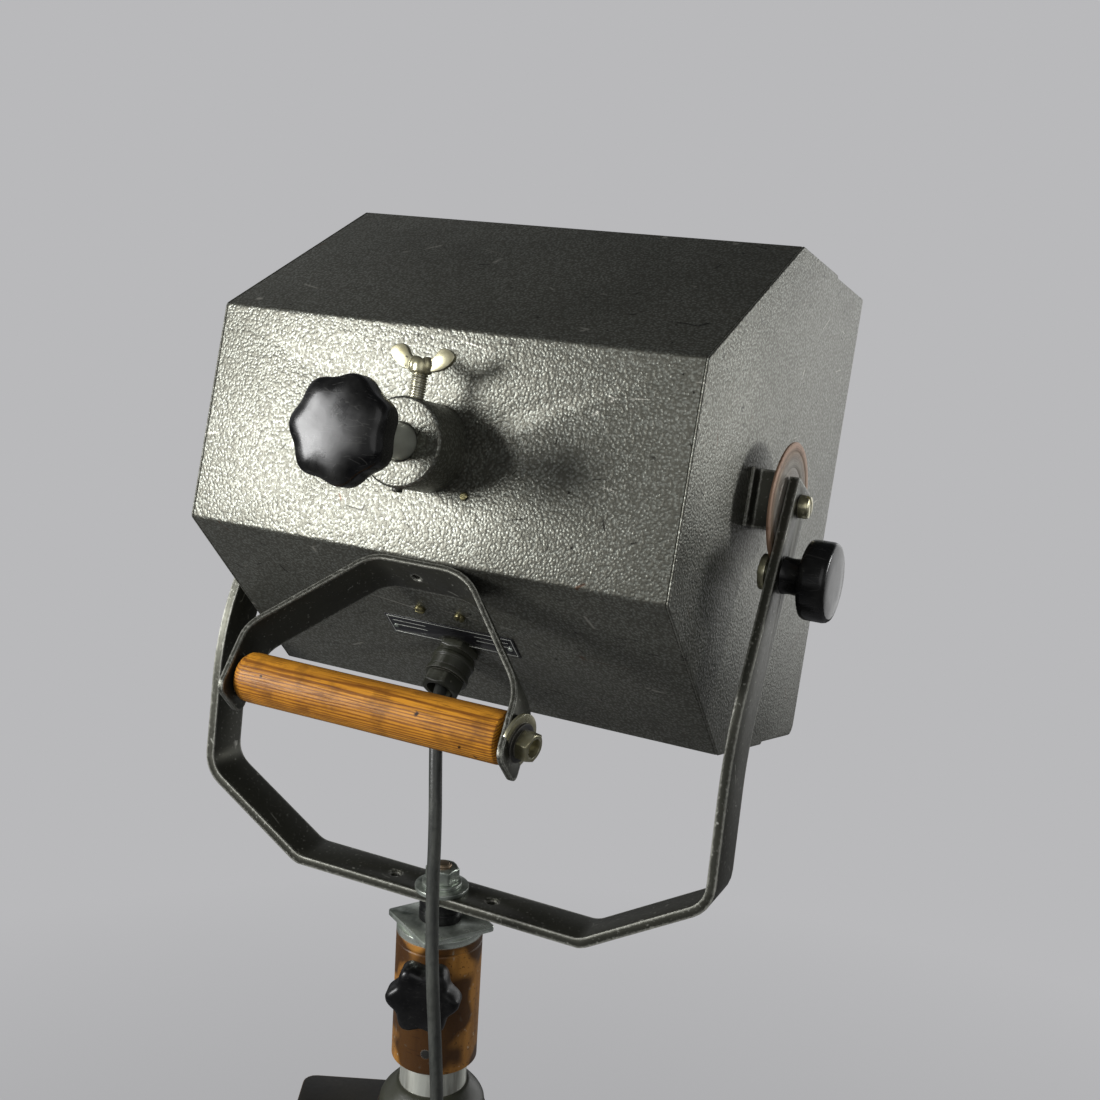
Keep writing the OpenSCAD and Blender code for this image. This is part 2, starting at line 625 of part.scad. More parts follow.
module clamp_knob() color("black") in_yoke() translate([0, 0, clamp_z])
    rotate([0, 90, clamp_az]) {
        translate([0, 0, mast_d / 2 + gap]) cylinder(d = 12, h = 72);
        translate([0, 0, clamp_end + 5]) cylinder(d1 = 20, d2 = 24, h = 8);
        translate([0, 0, clamp_end + 12]) lobed_knob(20.5, 2, 6, 15, 4);
    }

column_top = yoke_z + block_z - block_h + socket;

module column() color("dimgray") in_mast() translate([0, 0, column_z])
    tube(column_d, column_d - 6.3, column_top - column_z);

tongue = 14;      // thickness of a leg's tongue between the hub's ears
ear = 6;

// A cast ring with three pairs of ears that the legs turn between
module leg_hub() color("black") in_mast() difference() {
    union() {
        translate([0, 0, hub_z - 22]) cylinder(d = 70, h = 44);
        for (a = [FRONT, LEFT, RIGHT]) rotate(a) for (side = [-1, 1])
            translate([0, side * (tongue + ear + 2 * gap) / 2 + ear / 2, 0])
            rotate([90, 0, 0]) linear_extrude(ear)
            polygon([[20, hub_z - 22], [hub_r - 2, hub_z - 16], [hub_r + 9, hub_z - 9],
                [hub_r + 12, hub_z], [hub_r + 9, hub_z + 9], [hub_r - 2, hub_z + 14],
                [20, hub_z + 22]]);
    }
    translate([0, 0, hub_z - 30]) cylinder(d = column_d, h = 60);
    for (a = [FRONT, LEFT, RIGHT]) rotate(a) {
        translate([hub_r, 40, hub_z]) rotate([90, 0, 0]) cylinder(d = 8, h = 80);
        translate([hub_r, 0, hub_z]) rotate([90, 0, 0]) translate([0, 0, -tongue / 2 - gap])
            cylinder(r = hub_r - column_d / 2 - 5, h = tongue + 2 * gap);
    }
}

module hub_pins() color("silver") in_mast() for (a = [FRONT, LEFT, RIGHT]) rotate(a)
    translate([hub_r, tongue / 2 + ear + gap, hub_z]) rotate([90, 0, 0]) {
        cylinder(d = 8, h = tongue + 2 * ear + 2 * gap);
        for (z = [-3, tongue + 2 * ear + 2 * gap]) translate([0, 0, z]) cylinder(d = 12, h = 3);
    }

// A leg in its own frame: it hangs along -z from its pivot, and +x is outwards
module leg(a) color("dimgray") in_mast() rotate(a) translate([hub_r, 0, hub_z])
    rotate([0, -leg_angle, 0]) difference() {
        union() {
            rotate([90, 0, 0]) translate([0, 0, -tongue / 2]) cylinder(d = 24, h = tongue);
            translate([-10, -tongue / 2, -46]) cube([20, tongue, 46]);
            translate([0, 0, -leg_l + 4]) cylinder(d = leg_d, h = leg_l - 4 - 30);
            for (side = [-1, 1]) translate([-lug_in, side * 5.4 + 1.5, -brace_at])
                rotate([90, 0, 0]) linear_extrude(3) polygon(rounded([[-7, -7], [12, -14], [12, 14],
                    [-7, 7]], [5, 0, 0, 5]));
        }
        translate([0, 0, -leg_l]) cylinder(d = leg_d - 4, h = leg_l - 60);
        rotate([90, 0, 0]) translate([0, 0, -20]) cylinder(d = 8 + 2 * fit, h = 40);
        translate([-lug_in, 20, -brace_at]) rotate([90, 0, 0]) cylinder(d = 6, h = 40);
    }

// A rubber foot, cut level where it stands on the floor
module foot(a) color("black") in_mast() rotate(a) difference() {
    translate([hub_r, 0, hub_z]) rotate([0, -leg_angle, 0]) translate([0, 0, -leg_l - 18])
        difference() {
            rotate_extrude() polygon([[0, 0], [19, 0], [19.5, 8], [17, 24], [15.5, 46], [14.5, 50],
                [0, 50]]);
            translate([0, 0, 22]) cylinder(d = leg_d, h = 40);
        }
    translate([foot_r - 100, -100, -100]) cube([200, 200, 100]);
}

// A flat brace with an eye at each end and the rivet of its upper eye
module brace(a) color("silver") in_mast() rotate(a) translate([lug_r, 0, lug_z])
    rotate([0, brace_angle, 0]) {
        rotate([90, 0, 0]) translate([0, 0, -2.5]) linear_extrude(5) union() {
            circle(d = 14);
            translate([0, -brace_l]) circle(d = 14);
            translate([-6.5, -brace_l]) square([13, brace_l]);
        }
        rotate([90, 0, 0]) translate([0, 0, -8.4]) cylinder(d = 6 - 2 * fit, h = 16.8);
    }

// A sliding ring with three pairs of ears
module runner() color("black") in_mast() difference() {
    union() {
        translate([0, 0, runner_z - 15]) cylinder(d = 62, h = 30);
        for (a = [FRONT, LEFT, RIGHT]) rotate(a) for (side = [-1, 1])
            translate([0, side * 5 + 2, runner_z]) rotate([90, 0, 0]) linear_extrude(4)
            polygon([[26, -14], [runner_r + 4, -9], [runner_r + 9, 0], [runner_r + 4, 9], [26, 14]]);
        for (a = [FRONT, LEFT, RIGHT]) rotate(a) for (side = [-1, 1])
            translate([runner_r, side * 8.5 + 1.5, runner_z]) rotate([90, 0, 0])
            cylinder(d = 9, h = 3);
    }
    translate([0, 0, runner_z - 20]) cylinder(d = column_d + 4 * fit, h = 40);
    for (a = [FRONT, LEFT, RIGHT]) rotate(a) translate([28.2, -3, runner_z - 20]) cube([30, 6, 40]);
}

// ---------- Lead ----------

// Points at even steps along a smooth curve through the route
function spline(p, i, t) = let (a = p[max(i - 1, 0)], b = p[i], c = p[i + 1],
        d = p[min(i + 2, len(p) - 1)])
    ((2 * b) + (c - a) * t + (2 * a - 5 * b + 4 * c - d) * t * t
        + (3 * b - a - 3 * c + d) * t * t * t) / 2;

function smooth(p, per) = concat([for (i = [0:len(p) - 2]) for (k = [0:per - 1])
    spline(p, i, k / per)], [p[len(p) - 1]]);

// The coil: out to in on the floor, and in to out on top, from the end of the drop
pitch = cord_d + 0.6;
coil_in = 28.5;
coil_out = coil_in + coil_turns * pitch;
coil_z = cord_d / 2 + 1.4;
coil_start = ROUTE[len(ROUTE) - 1];
coil_centre = coil_start + [coil_out, cord_d, -coil_start.z];
coil_steps = 24;  // points in a turn

function coil_point(t) = // t is in turns, from 0 to 2 * coil_turns
    let (up = max(0, min(1, (t - coil_turns + 0.25) / 0.5)), a = 180 - 360 * t,
         r = t < coil_turns ? coil_out - pitch * t : coil_in + pitch * (t - coil_turns))
    coil_centre + [r * cos(a), r * sin(a), coil_z + pitch * up];

COIL = [for (i = [0:coil_steps * 2 * coil_turns]) coil_point(i / coil_steps)];
tail_from = COIL[len(COIL) - 1];
plug_z = 18.6;
TAIL = [for (i = [1:6]) tail_from + [0, i * 8, (plug_z - tail_from.z) * (1 - cos(i * 30)) / 2]];

// The whole lead as one line of points, cut into nodes at these indices
LINE = concat(smooth(ROUTE, 2), COIL, TAIL);
head_end = 2 * on_yoke;
mast_end = 2 * on_mast;
drop_end = 2 * (len(ROUTE) - 1);
line_end = len(LINE) - 1;

// A tube of triangles along part of the lead; its rings are turned towards side
module cord_part(from, to, sides, side) color("dimgray") in_mast() {
    ring = [for (i = [from:to])
        let (along = unit(LINE[min(i + 1, line_end)] - LINE[max(i - 1, 0)]),
             u = unit(cross(along, side)), v = cross(along, u))
        for (k = [0:sides - 1])
            LINE[i] + cord_d / 2 * (cos(k * 360 / sides) * u + sin(k * 360 / sides) * v)];
    end = (to - from) * sides;
    walls = [for (i = [0:sides:end - 1]) for (k = [0:sides - 1])
        let (a = i + k, b = i + (k + 1) % sides) each [[a, b, a + sides], [b, b + sides, a + sides]]];
    first = [for (k = [1:sides - 2]) [0, k + 1, k]];
    last = [for (k = [1:sides - 2]) [end, end + k, end + k + 1]];
    polyhedron(ring, concat(walls, first, last));
}

module cord_head() cord_part(0, head_end, 8, [1, 0, 0]);
module cord_mast() cord_part(head_end, mast_end, 8, [1, 0, 0]);
module cord_drop() cord_part(mast_end, drop_end, 8, [1, 0, 0]);
module cord_coil() cord_part(drop_end, line_end, 6, [0, 0, 1]);

// The least gap between turns of the coil, and the lead's length, measured on the points
far = coil_steps - 4;
echo(least_gap_in_coil_mm = min([for (i = [0:len(COIL) - 1 - far]) for (j = [i + far:len(COIL) - 1])
    norm(COIL[i] - COIL[j])]) - cord_d);
echo(lead_length_mm = [for (i = 1, sum = norm(LINE[1] - LINE[0]); i <= line_end; i = i + 1,
    sum = sum + (i <= line_end ? norm(LINE[i] - LINE[i - 1]) : 0)) sum][line_end - 1]);

module cord_tie() color("black") in_mast()
    translate(coil_centre + [(coil_in + coil_out) / 2, 0, coil_z + pitch / 2])
    rotate([90, 0, 0]) translate([0, 0, -5]) linear_extrude(10) difference() {
        wide = (coil_turns - 1) * pitch + cord_d + 3.4;
        high = pitch + cord_d + 2.4;
        polygon(rounded([[-wide, -high] / 2, [wide, -high] / 2, [wide, high] / 2,
            [-wide, high] / 2], [5, 5, 5, 5]));
        polygon(rounded([[-wide / 2 + 1, -high / 2 + 1], [wide / 2 - 1, -high / 2 + 1],
            [wide / 2 - 1, high / 2 - 1], [-wide / 2 + 1, high / 2 - 1]], [4, 4, 4, 4]));
    }

module cord_plug() color("black") in_mast() translate(LINE[line_end]) rotate([-90, 0, 0]) {
    rotate_extrude() polygon([[0, 0], [6, 0], [8, 16], [12, 22], [16, 26], [18, 30], [18, 46],
        [0, 46]]);
    for (x = [-9.5, 9.5]) translate([x, 0, 46]) {
        cylinder(d = 4.8, h = 17, $fn = 24);
        translate([0, 0, 17]) cylinder(d1 = 4.8, d2 = 3, h = 2, $fn = 24);
    }
}

casing_wrap();
side_plates();
front_frame();
lens();
lens_ring();
filter_runners();
vent_baffles();
guide_frame();
focus_boss();
case_screws();
handle_strap();
handle_grip();
handle_bolt();
label_plate();
gland_body();
gland_nut();
pivot_brackets();
friction_disc();
pivot_screws();
focus_rod();
focus_knob();
lamp_carriage();
lamp_holder();
bulb();
reflector();
wing_screw();
yoke_bar();
yoke_bolt();
yoke_washers();
spacer_disc();
square_plate();
sleeve_cap();
sleeve();
clamp_washer();
tilt_knob();
sleeve_knob();
mast_tube();
mast_guide();
collar();
clamp_block();
clamp_knob();
column();
leg_hub();
hub_pins();
runner();
leg(FRONT);  // leg_front
leg(LEFT);  // leg_left
leg(RIGHT);  // leg_right
foot(FRONT);  // foot_front
foot(LEFT);  // foot_left
foot(RIGHT);  // foot_right
brace(FRONT);  // brace_front
brace(LEFT);  // brace_left
brace(RIGHT);  // brace_right
cord_head();
cord_mast();
cord_drop();
cord_coil();
cord_tie();
cord_plug();
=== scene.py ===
"""The finishes, the lead and the stage of a spotlight floor lamp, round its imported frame."""
import json
import math

import bmesh
import bpy
from mathutils import Matrix, Vector


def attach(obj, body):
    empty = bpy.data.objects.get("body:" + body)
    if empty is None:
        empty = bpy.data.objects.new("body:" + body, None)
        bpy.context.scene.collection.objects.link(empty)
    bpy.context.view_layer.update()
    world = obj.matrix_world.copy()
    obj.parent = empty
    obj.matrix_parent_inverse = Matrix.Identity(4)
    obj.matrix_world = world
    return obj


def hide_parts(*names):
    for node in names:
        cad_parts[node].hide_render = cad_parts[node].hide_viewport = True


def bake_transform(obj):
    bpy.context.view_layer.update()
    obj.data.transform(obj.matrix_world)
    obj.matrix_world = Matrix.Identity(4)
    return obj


bl_info = {
    "name": "Spotlight Floor Lamp",
    "version": (1, 0, 0),
    "blender": (4, 5, 0),
    "location": "3D View > Sidebar > Lamp",
    "description": "Finishes a lens spotlight on a yoke, its stand and its lead",
    "category": "Object",
}

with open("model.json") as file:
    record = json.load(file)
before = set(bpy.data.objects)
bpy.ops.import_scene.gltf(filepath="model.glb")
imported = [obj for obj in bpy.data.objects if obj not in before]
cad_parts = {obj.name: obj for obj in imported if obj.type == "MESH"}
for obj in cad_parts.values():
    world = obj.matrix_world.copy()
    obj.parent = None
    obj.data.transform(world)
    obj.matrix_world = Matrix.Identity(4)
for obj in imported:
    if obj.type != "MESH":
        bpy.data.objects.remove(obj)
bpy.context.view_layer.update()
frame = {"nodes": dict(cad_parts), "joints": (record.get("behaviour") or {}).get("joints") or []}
JOINTS = {joint["name"]: joint for joint in frame["joints"]}
MM = 0.001

# Places that the frame gives: the mast's axis, the tilt pivot and the lamp head's own axes,
# in which y points back from the pivot, z up and x across
MAST = Vector((0, JOINTS["pan"]["pos_m"][1], JOINTS["pan"]["pos_m"][2]))
PIVOT = Vector(JOINTS["tilt"]["pos_m"])
BEAM_DOWN = math.asin(-JOINTS["focus"]["axis"][2])
HEAD = Matrix.Translation(PIVOT) @ Matrix.Rotation(BEAM_DOWN, 4, "X")
YOKE = Matrix.Translation(MAST)

# Sizes of the lamp head, in millimetres, in its own axes
BACK = 115  # the casing's back face
FRONT = -141  # the face that carries the lens ring
BACK_HALF = 58.25  # half the height of the back face
SLOPE_FOOT = Vector((0, 1, -137))  # the lower slope, from its low front edge
SLOPE_TOP = Vector((0, BACK, -BACK_HALF))
SLOPE_AXIS = (SLOPE_FOOT - SLOPE_TOP).normalized()
BOSS_Z = -2.5  # height of the focus rod
HAT_X = 151.2  # outer face of the pivot brackets
ARM_X = 159.8  # outer face of the yoke's arms
BAR_T = 5.2  # thickness of the yoke's bar
RUNNING = 0.3  # gap between parts that turn on each other
MIRROR_Y = BACK - 73.5  # back of the mirror
MIRROR_R = 46  # radius of the mirror's curve, with the bulb at its centre

# How a piece is finished: edges sharper than EDGE_ANGLE are rounded, and faces that meet at
# more than SHARP_ANGLE aren't shaded as one
EDGE_ANGLE = math.radians(32)
SHARP_ANGLE = math.radians(40)


def by(x, y, z):
    """A shift, from millimetres."""
    return Matrix.Translation(Vector((x, y, z)) * MM)


def about_z(turn):
    """A turn about z, from radians."""
    return Matrix.Rotation(turn, 4, "Z")


def on_head(x, y, z):
    """A place in the lamp head's axes, from millimetres."""
    return HEAD @ by(x, y, z)


def on_yoke(x, y, z):
    """A place from the mast's axis and the underside of the yoke, from millimetres."""
    return YOKE @ by(x, y, z)


def facing(axis):
    """A turn that points z along an axis."""
    return Vector((0, 0, 1)).rotation_difference(Vector(axis)).to_matrix().to_4x4()


def on_slope(along, off=0.0, x=0.0):
    """A place on the casing's lower slope: x across, y down the slope, z square off it."""
    spot = SLOPE_TOP + SLOPE_AXIS * along
    turn = Matrix.Rotation(math.atan2(-SLOPE_AXIS.z, -SLOPE_AXIS.y) + math.pi, 4, "X")
    return on_head(x, spot.y, spot.z) @ turn @ by(0, 0, off)


# ---------- Colours and sizes that a user would change ----------


def linear(code):
    """An sRGB hex colour as linear values with full alpha."""
    parts = [int(code[i:i + 2], 16) / 255 for i in (0, 2, 4)]
    low = [part / 12.92 if part <= 0.04045 else ((part + 0.055) / 1.055) ** 2.4 for part in parts]
    return (*low, 1.0)


def colour(name, description, code):
    """A colour that a user may change."""
    return bpy.props.FloatVectorProperty(
        name=name, description=description, subtype="COLOR", size=4, min=0, max=1,
        default=linear(code))


def length(name, description, millimetres):
    """A size that a user may change."""
    return bpy.props.FloatProperty(
        name=name, description=description, subtype="DISTANCE", unit="LENGTH",
        default=millimetres * MM, min=0.01 * MM, precision=5)


class LampColours(bpy.types.PropertyGroup):
    """The colours of the finishes."""
    enamel: colour("Casing", "Hammered enamel of the casing", "8E9088")
    enamel_pit: colour("Casing pits", "Colour in the pits of the hammered enamel", "57554C")
    black: colour("Yoke", "Dark enamel of the yoke and the strap", "46463F")
    # Pale bare steel on the casing's worn edges, which also serves as a painted highlight along
    # them
    bare_and_edge_glint: colour("Bare steel", "Steel where enamel is worn through", "A7A39A")
    rust: colour("Rust", "Rust in chips and scratches", "5E4636")
    plastic: colour("Knobs", "Black thermoset plastic", "0C0C0D")
    pine: colour("Grip", "Varnished pine", "D8942E")
    pine_line: colour("Grip grain", "Late wood of the pine", "7C4A1B")
    zinc: colour("Zinc", "Clear zinc plate", "D2D9CF")
    yellow_zinc: colour("Yellow zinc", "Yellow zinc plate", "BDB99C")
    varnish: colour("Sleeve", "Brown varnish of the sleeve", "AE7A38")
    olive: colour("Olive", "Olive enamel of the gland and the collar", "34352B")
    sheath: colour("Lead", "Rubber sheath of the lead", "3A3C39")
    floor: colour("Floor", "Pale floor", "B9B9BB")


class LampSizes(bpy.types.PropertyGroup):
    """The sizes of the finishes' patterns and of the parts made here."""
    lead: length("Lead", "Diameter of the lead", 7.0)
    dimple: length("Dimple", "Width of a dimple in the hammered enamel", 1.5)
    worn_edge: length("Worn edge", "Width of the wear along edges", 1.1)
    grain: length("Grain", "Spacing of the pine's grain", 1.4)
    thread_coarse: length("Thread of the nut", "Pitch of the yoke bolt's thread", 1.5)
    thread_fine: length("Thread of the wing screw", "Pitch of the wing screw's thread", 1.25)


# ---------- Finishes ----------


def add(tree, kind, inputs=(), stops=(), **settings):
    """Adds a node. Its inputs take values, sockets or whole nodes, of which the first socket in
    use is linked; stops are the places and the greys or colours of a ramp."""
    node = tree.nodes.new(kind)
    for name, value in settings.items():
        setattr(node, name, value)
    for key, value in dict(inputs).items():
        if isinstance(value, bpy.types.Node):
            value = next(socket for socket in value.outputs if socket.enabled)
        if isinstance(value, bpy.types.NodeSocket):
            tree.links.new(value, node.inputs[key])
        else:
            node.inputs[key].default_value = value
    for i, (place, shade) in enumerate(stops):
        band = node.color_ramp.elements
        stop = band[i] if i < 2 else band.new(place)
        stop.position = place
        stop.color = shade if isinstance(shade, tuple) else (shade, shade, shade, 1)
    return node


def new_finish(name):
    """A material with its shader, and the place on the object as a socket."""
    material = bpy.data.materials.new(name)
    material.use_nodes = True
    tree = material.node_tree
    tree.nodes.clear()
    shader = add(tree, "ShaderNodeBsdfPrincipled")
    add(tree, "ShaderNodeOutputMaterial", {"Surface": shader})
    return material, tree, shader, add(tree, "ShaderNodeTexCoord").outputs["Object"]


def paint(tree, shader, layers):
    """Lays colours over each other: the first alone, and each later one by its own share."""
    under = layers[0]
    for share, over in layers[1:]:
        # A colour mix's factor, A and B, and its result, by number because the names repeat
        mix = add(tree, "ShaderNodeMix", {0: share, 6: under, 7: over}, data_type="RGBA")
        under = mix.outputs[2]
    tree.links.new(under, shader.inputs["Base Color"])


def surface(tree, shader, gloss, spread, relief, depth):
    """Roughness about a middle value and a relief in metres, both from one pattern."""
    rough = add(tree, "ShaderNodeMath", {0: relief, 1: spread, 2: gloss - spread / 2},
                operation="MULTIPLY_ADD")
    tree.links.new(rough.outputs[0], shader.inputs["Roughness"])
    raised = add(tree, "ShaderNodeBump", {"Height": relief, "Distance": depth, "Strength": 1.0})
    tree.links.new(raised.outputs[0], shader.inputs["Normal"])


def either(tree, *masks):
    """The larger of two or more masks."""
    largest = masks[0]
    for mask in masks[1:]:
        largest = add(tree, "ShaderNodeMath", {0: largest, 1: mask}, operation="MAXIMUM")
    return largest


def clouds(tree, place, size, low, high, top=1.0, detail=5.0):
    """Soft patches of a size in metres, 0 below one level of the noise and top above another."""
    noise = add(tree, "ShaderNodeTexNoise", {"Vector": place, "Scale": 1 / size, "Detail": detail,
                                             "Roughness": 0.6})
    return add(tree, "ShaderNodeValToRGB", {0: noise}, ((low, 0.0), (high, top)))


def wear_on_edges(tree, place, width, level, speckle, breakup=0.16):
    """1 on outer edges and 0 on flats, broken up by noise of a speckle's size. The level is how
    far the surface has to turn within the width to be worn."""
    smooth = add(tree, "ShaderNodeBevel", {"Radius": width}, samples=6)
    flat = add(tree, "ShaderNodeNewGeometry").outputs["Normal"]
    same = add(tree, "ShaderNodeVectorMath", {0: smooth, 1: flat}, operation="DOT_PRODUCT")
    turn = add(tree, "ShaderNodeMath", {0: 1.0, 1: same.outputs["Value"]}, operation="SUBTRACT")
    noise = add(tree, "ShaderNodeTexNoise", {"Vector": place, "Scale": 1 / speckle, "Detail": 5.0,
                                             "Roughness": 0.65})
    broken = add(tree, "ShaderNodeMath", {0: noise, 1: -breakup, 2: turn}, operation="MULTIPLY_ADD")
    middle, blur = level - breakup / 2, 0.015
    return add(tree, "ShaderNodeMapRange", {"Value": broken, "From Min": middle - blur,
                                            "From Max": middle + blur})


def scratches(tree, place, turn, spacing, reach, width, cover):
    """Thin broken lines in one direction: 1 on a line. Spacing, reach and width are in metres,
    and a higher cover leaves fewer lines."""
    run = add(tree, "ShaderNodeMapping", {"Vector": place, "Rotation": turn,
                                          "Scale": (1 / reach, 1 / spacing, 1 / spacing)})
    cells = add(tree, "ShaderNodeTexVoronoi", {"Vector": run, "Scale": 1.0},
                feature="DISTANCE_TO_EDGE")
    line = add(tree, "ShaderNodeValToRGB", {0: cells}, ((0.0, 1.0), (width / spacing, 0.0)))
    patch = add(tree, "ShaderNodeTexNoise", {"Vector": run, "Scale": 2.3, "Detail": 2.0})
    shown = add(tree, "ShaderNodeValToRGB", {0: patch}, ((cover, 0.0), (cover + 0.03, 1.0)))
    return add(tree, "ShaderNodeMath", {0: line, 1: shown}, operation="MULTIPLY")


def specks(tree, place, size, cover):
    """Small scattered chips: 1 on a chip. Cover is the share of cells that hold one."""
    rough = add(tree, "ShaderNodeTexNoise", {"Vector": place, "Scale": 3 / size, "Detail": 2.0})
    moved = add(tree, "ShaderNodeVectorMath", {0: rough.outputs["Color"], 1: (size * 0.5,) * 3,
                                               2: place}, operation="MULTIPLY_ADD")
    cells = add(tree, "ShaderNodeTexVoronoi", {"Vector": moved, "Scale": 1 / size})
    chip = add(tree, "ShaderNodeValToRGB", {0: cells}, ((0.08, 1.0), (0.18, 0.0)))
    pick = add(tree, "ShaderNodeSeparateColor", {0: cells.outputs["Color"]})
    chosen = add(tree, "ShaderNodeMath", {0: pick, 1: cover}, operation="LESS_THAN")
    return add(tree, "ShaderNodeMath", {0: chip, 1: chosen}, operation="MULTIPLY")


def hammered_enamel():
    """Stoved hammer-finish enamel on steel sheet: metal flake pools round shallow dimples, so it
    glitters in grains under a lamp. Bare steel shows on the sheet's edges in a pale, less metallic
    colour that is also a painted highlight along them, and pale, dark and rusty scratches cross its
    faces."""
    colours, sizes = bpy.context.scene.lamp_colours, bpy.context.scene.lamp_sizes
    material, tree, shader, place = new_finish("hammered_enamel")
    cells = add(tree, "ShaderNodeTexVoronoi", {"Vector": place, "Scale": 1 / sizes.dimple,
                                               "Smoothness": 0.7}, feature="SMOOTH_F1")
    fine = add(tree, "ShaderNodeTexNoise", {"Vector": place, "Scale": 1.3 / sizes.dimple,
                                            "Detail": 3.0})
    relief = add(tree, "ShaderNodeMath", {0: fine, 1: 0.9, 2: cells}, operation="MULTIPLY_ADD")
    pits = add(tree, "ShaderNodeValToRGB", {0: relief}, ((0.62, 0.0), (1.0, 0.8)))
    hair = either(tree, scratches(tree, place, (0.3, 0.5, 0.9), 0.030, 0.10, 0.0004, 0.66),
                  scratches(tree, place, (1.1, -0.4, 2.2), 0.045, 0.13, 0.0004, 0.64),
                  specks(tree, place, 0.014, 0.04))
    scored = either(tree, scratches(tree, place, (0.2, 1.3, 0.3), 0.024, 0.04, 0.0005, 0.63),
                    scratches(tree, place, (0.9, 0.2, 0.8), 0.030, 0.05, 0.0004, 0.65),
                    specks(tree, place, 0.006, 0.05))
    rusty = scratches(tree, place, (0.8, 0.2, -0.7), 0.05, 0.09, 0.0004, 0.68)
    # Worn edges: bare steel, and at the same time a painted highlight along the sheet's edges
    worn = wear_on_edges(tree, place, sizes.worn_edge, 0.085, 0.008, 0.10)
    paint(tree, shader, [tuple(colours.enamel), (pits, tuple(colours.enamel_pit)),
                         (clouds(tree, place, 0.07, 0.45, 0.7, 0.3), linear("4A4A42")),
                         (hair, linear("B4B2A8")), (scored, linear("2C2B27")),
                         (rusty, tuple(colours.rust)), (worn, tuple(colours.bare_and_edge_glint))])
    # Less metallic where worn, so that the edges look bright in any light: part of the painted edge
    # highlight
    metal = add(tree, "ShaderNodeMath", {0: worn, 1: -0.5, 2: 0.82}, operation="MULTIPLY_ADD")
    tree.links.new(metal.outputs[0], shader.inputs["Metallic"])
    surface(tree, shader, 0.38, 0.10, relief, 0.00024)
    return material


def dark_enamel():
    """The same stoved enamel on flat bar, darker and finer: near black out of the light, with
    steel showing in a broken speckled line along every edge."""
    colours, sizes = bpy.context.scene.lamp_colours, bpy.context.scene.lamp_sizes
    material, tree, shader, place = new_finish("dark_enamel")
    # Lumps 2.4 mm apart
    lumps = add(tree, "ShaderNodeTexNoise", {"Vector": place, "Scale": 420.0, "Detail": 4.0})
    worn = either(tree, wear_on_edges(tree, place, 2.4 * sizes.worn_edge, 0.05, 0.0018, 0.30),
                  specks(tree, place, 0.005, 0.05),
                  scratches(tree, place, (0.2, 1.2, 0.4), 0.02, 0.06, 0.0003, 0.62))
    paint(tree, shader, [tuple(colours.black),
                         (clouds(tree, place, 0.03, 0.4, 0.7, 0.6), linear("4A4A41")),
                         (worn, linear("A5A59C"))])
    metal = add(tree, "ShaderNodeMath", {0: worn, 1: -0.4, 2: 0.8}, operation="MULTIPLY_ADD")
    tree.links.new(metal.outputs[0], shader.inputs["Metallic"])
    surface(tree, shader, 0.44, 0.16, lumps, 0.00005)
    return material


def thermoset(name="phenolic_plastic", gloss=0.18, haze=0.7):
    """Compression-moulded phenolic plastic: deep black and glossy, with bundles of fine
    scratches where it has knocked about, and patches of dust. Haze is how much of both."""
    material, tree, shader, place = new_finish(name)
    hair = either(tree, scratches(tree, place, (0.1, 0.2, 0.5), 0.004, 0.03, 0.00012, 0.55),
                  scratches(tree, place, (0.9, 0.3, 1.9), 0.005, 0.035, 0.00012, 0.57),
                  scratches(tree, place, (-0.6, 0.8, -0.8), 0.006, 0.025, 0.00012, 0.57))
    dusty = clouds(tree, place, 0.018, 0.35, 0.75)
    dust, marks = (add(tree, "ShaderNodeMath", {0: mask, 1: share * haze}, operation="MULTIPLY")
                   for mask, share in ((dusty, 0.10), (hair, 0.16)))
    paint(tree, shader, [tuple(bpy.context.scene.lamp_colours.plastic), (dust, linear("8A8984")),
                         (marks, linear("8B8A86"))])
    shader.inputs["Specular IOR Level"].default_value = 0.28
    surface(tree, shader, gloss + 0.06, 0.16, dusty, 0.00004)
    return material


def varnished_pine():
    """Turned pine under old varnish: dark late-wood lines run along the grip, with short pores,
    rubbed spots and a soft gloss."""
    colours, sizes = bpy.context.scene.lamp_colours, bpy.context.scene.lamp_sizes
    material, tree, shader, place = new_finish("varnished_pine")
    along = add(tree, "ShaderNodeMapping", {"Vector": place, "Scale": (0.045, 1.0, 1.0)})
    # A wave texture repeats every 0.3 / scale
    rings = add(tree, "ShaderNodeTexWave", {"Vector": along, "Scale": 0.30 / sizes.grain,
                                            "Distortion": 5.0, "Detail": 3.0, "Detail Scale": 1.3},
                wave_type="RINGS", rings_direction="X").outputs["Fac"]
    # Pores 0.7 mm apart round the grip, and 15 mm long
    pores = add(tree, "ShaderNodeTexNoise", {"Vector": along, "Scale": 1500.0, "Detail": 3.0})
    open_pores = add(tree, "ShaderNodeValToRGB", {0: pores}, ((0.54, 0.0), (0.66, 0.6)))
    late = add(tree, "ShaderNodeValToRGB", {0: rings}, ((0.35, 0.0), (0.95, 0.9)))
    paint(tree, shader, [tuple(colours.pine), (late, tuple(colours.pine_line)),
                         (clouds(tree, along, 0.008, 0.42, 0.72, 0.6), linear("7C4A1E")),
                         (open_pores, linear("57280E")),
                         (clouds(tree, place, 0.014, 0.5, 0.72, 0.65), linear("5F3A18")),
                         (specks(tree, place, 0.008, 0.14), linear("2B180B")),
                         (wear_on_edges(tree, place, 0.001, 0.1, 0.003), linear("3F2412"))])
    shader.inputs["Specular IOR Level"].default_value = 0.25
    surface(tree, shader, 0.44, 0.25, pores, 0.00025)
    return material


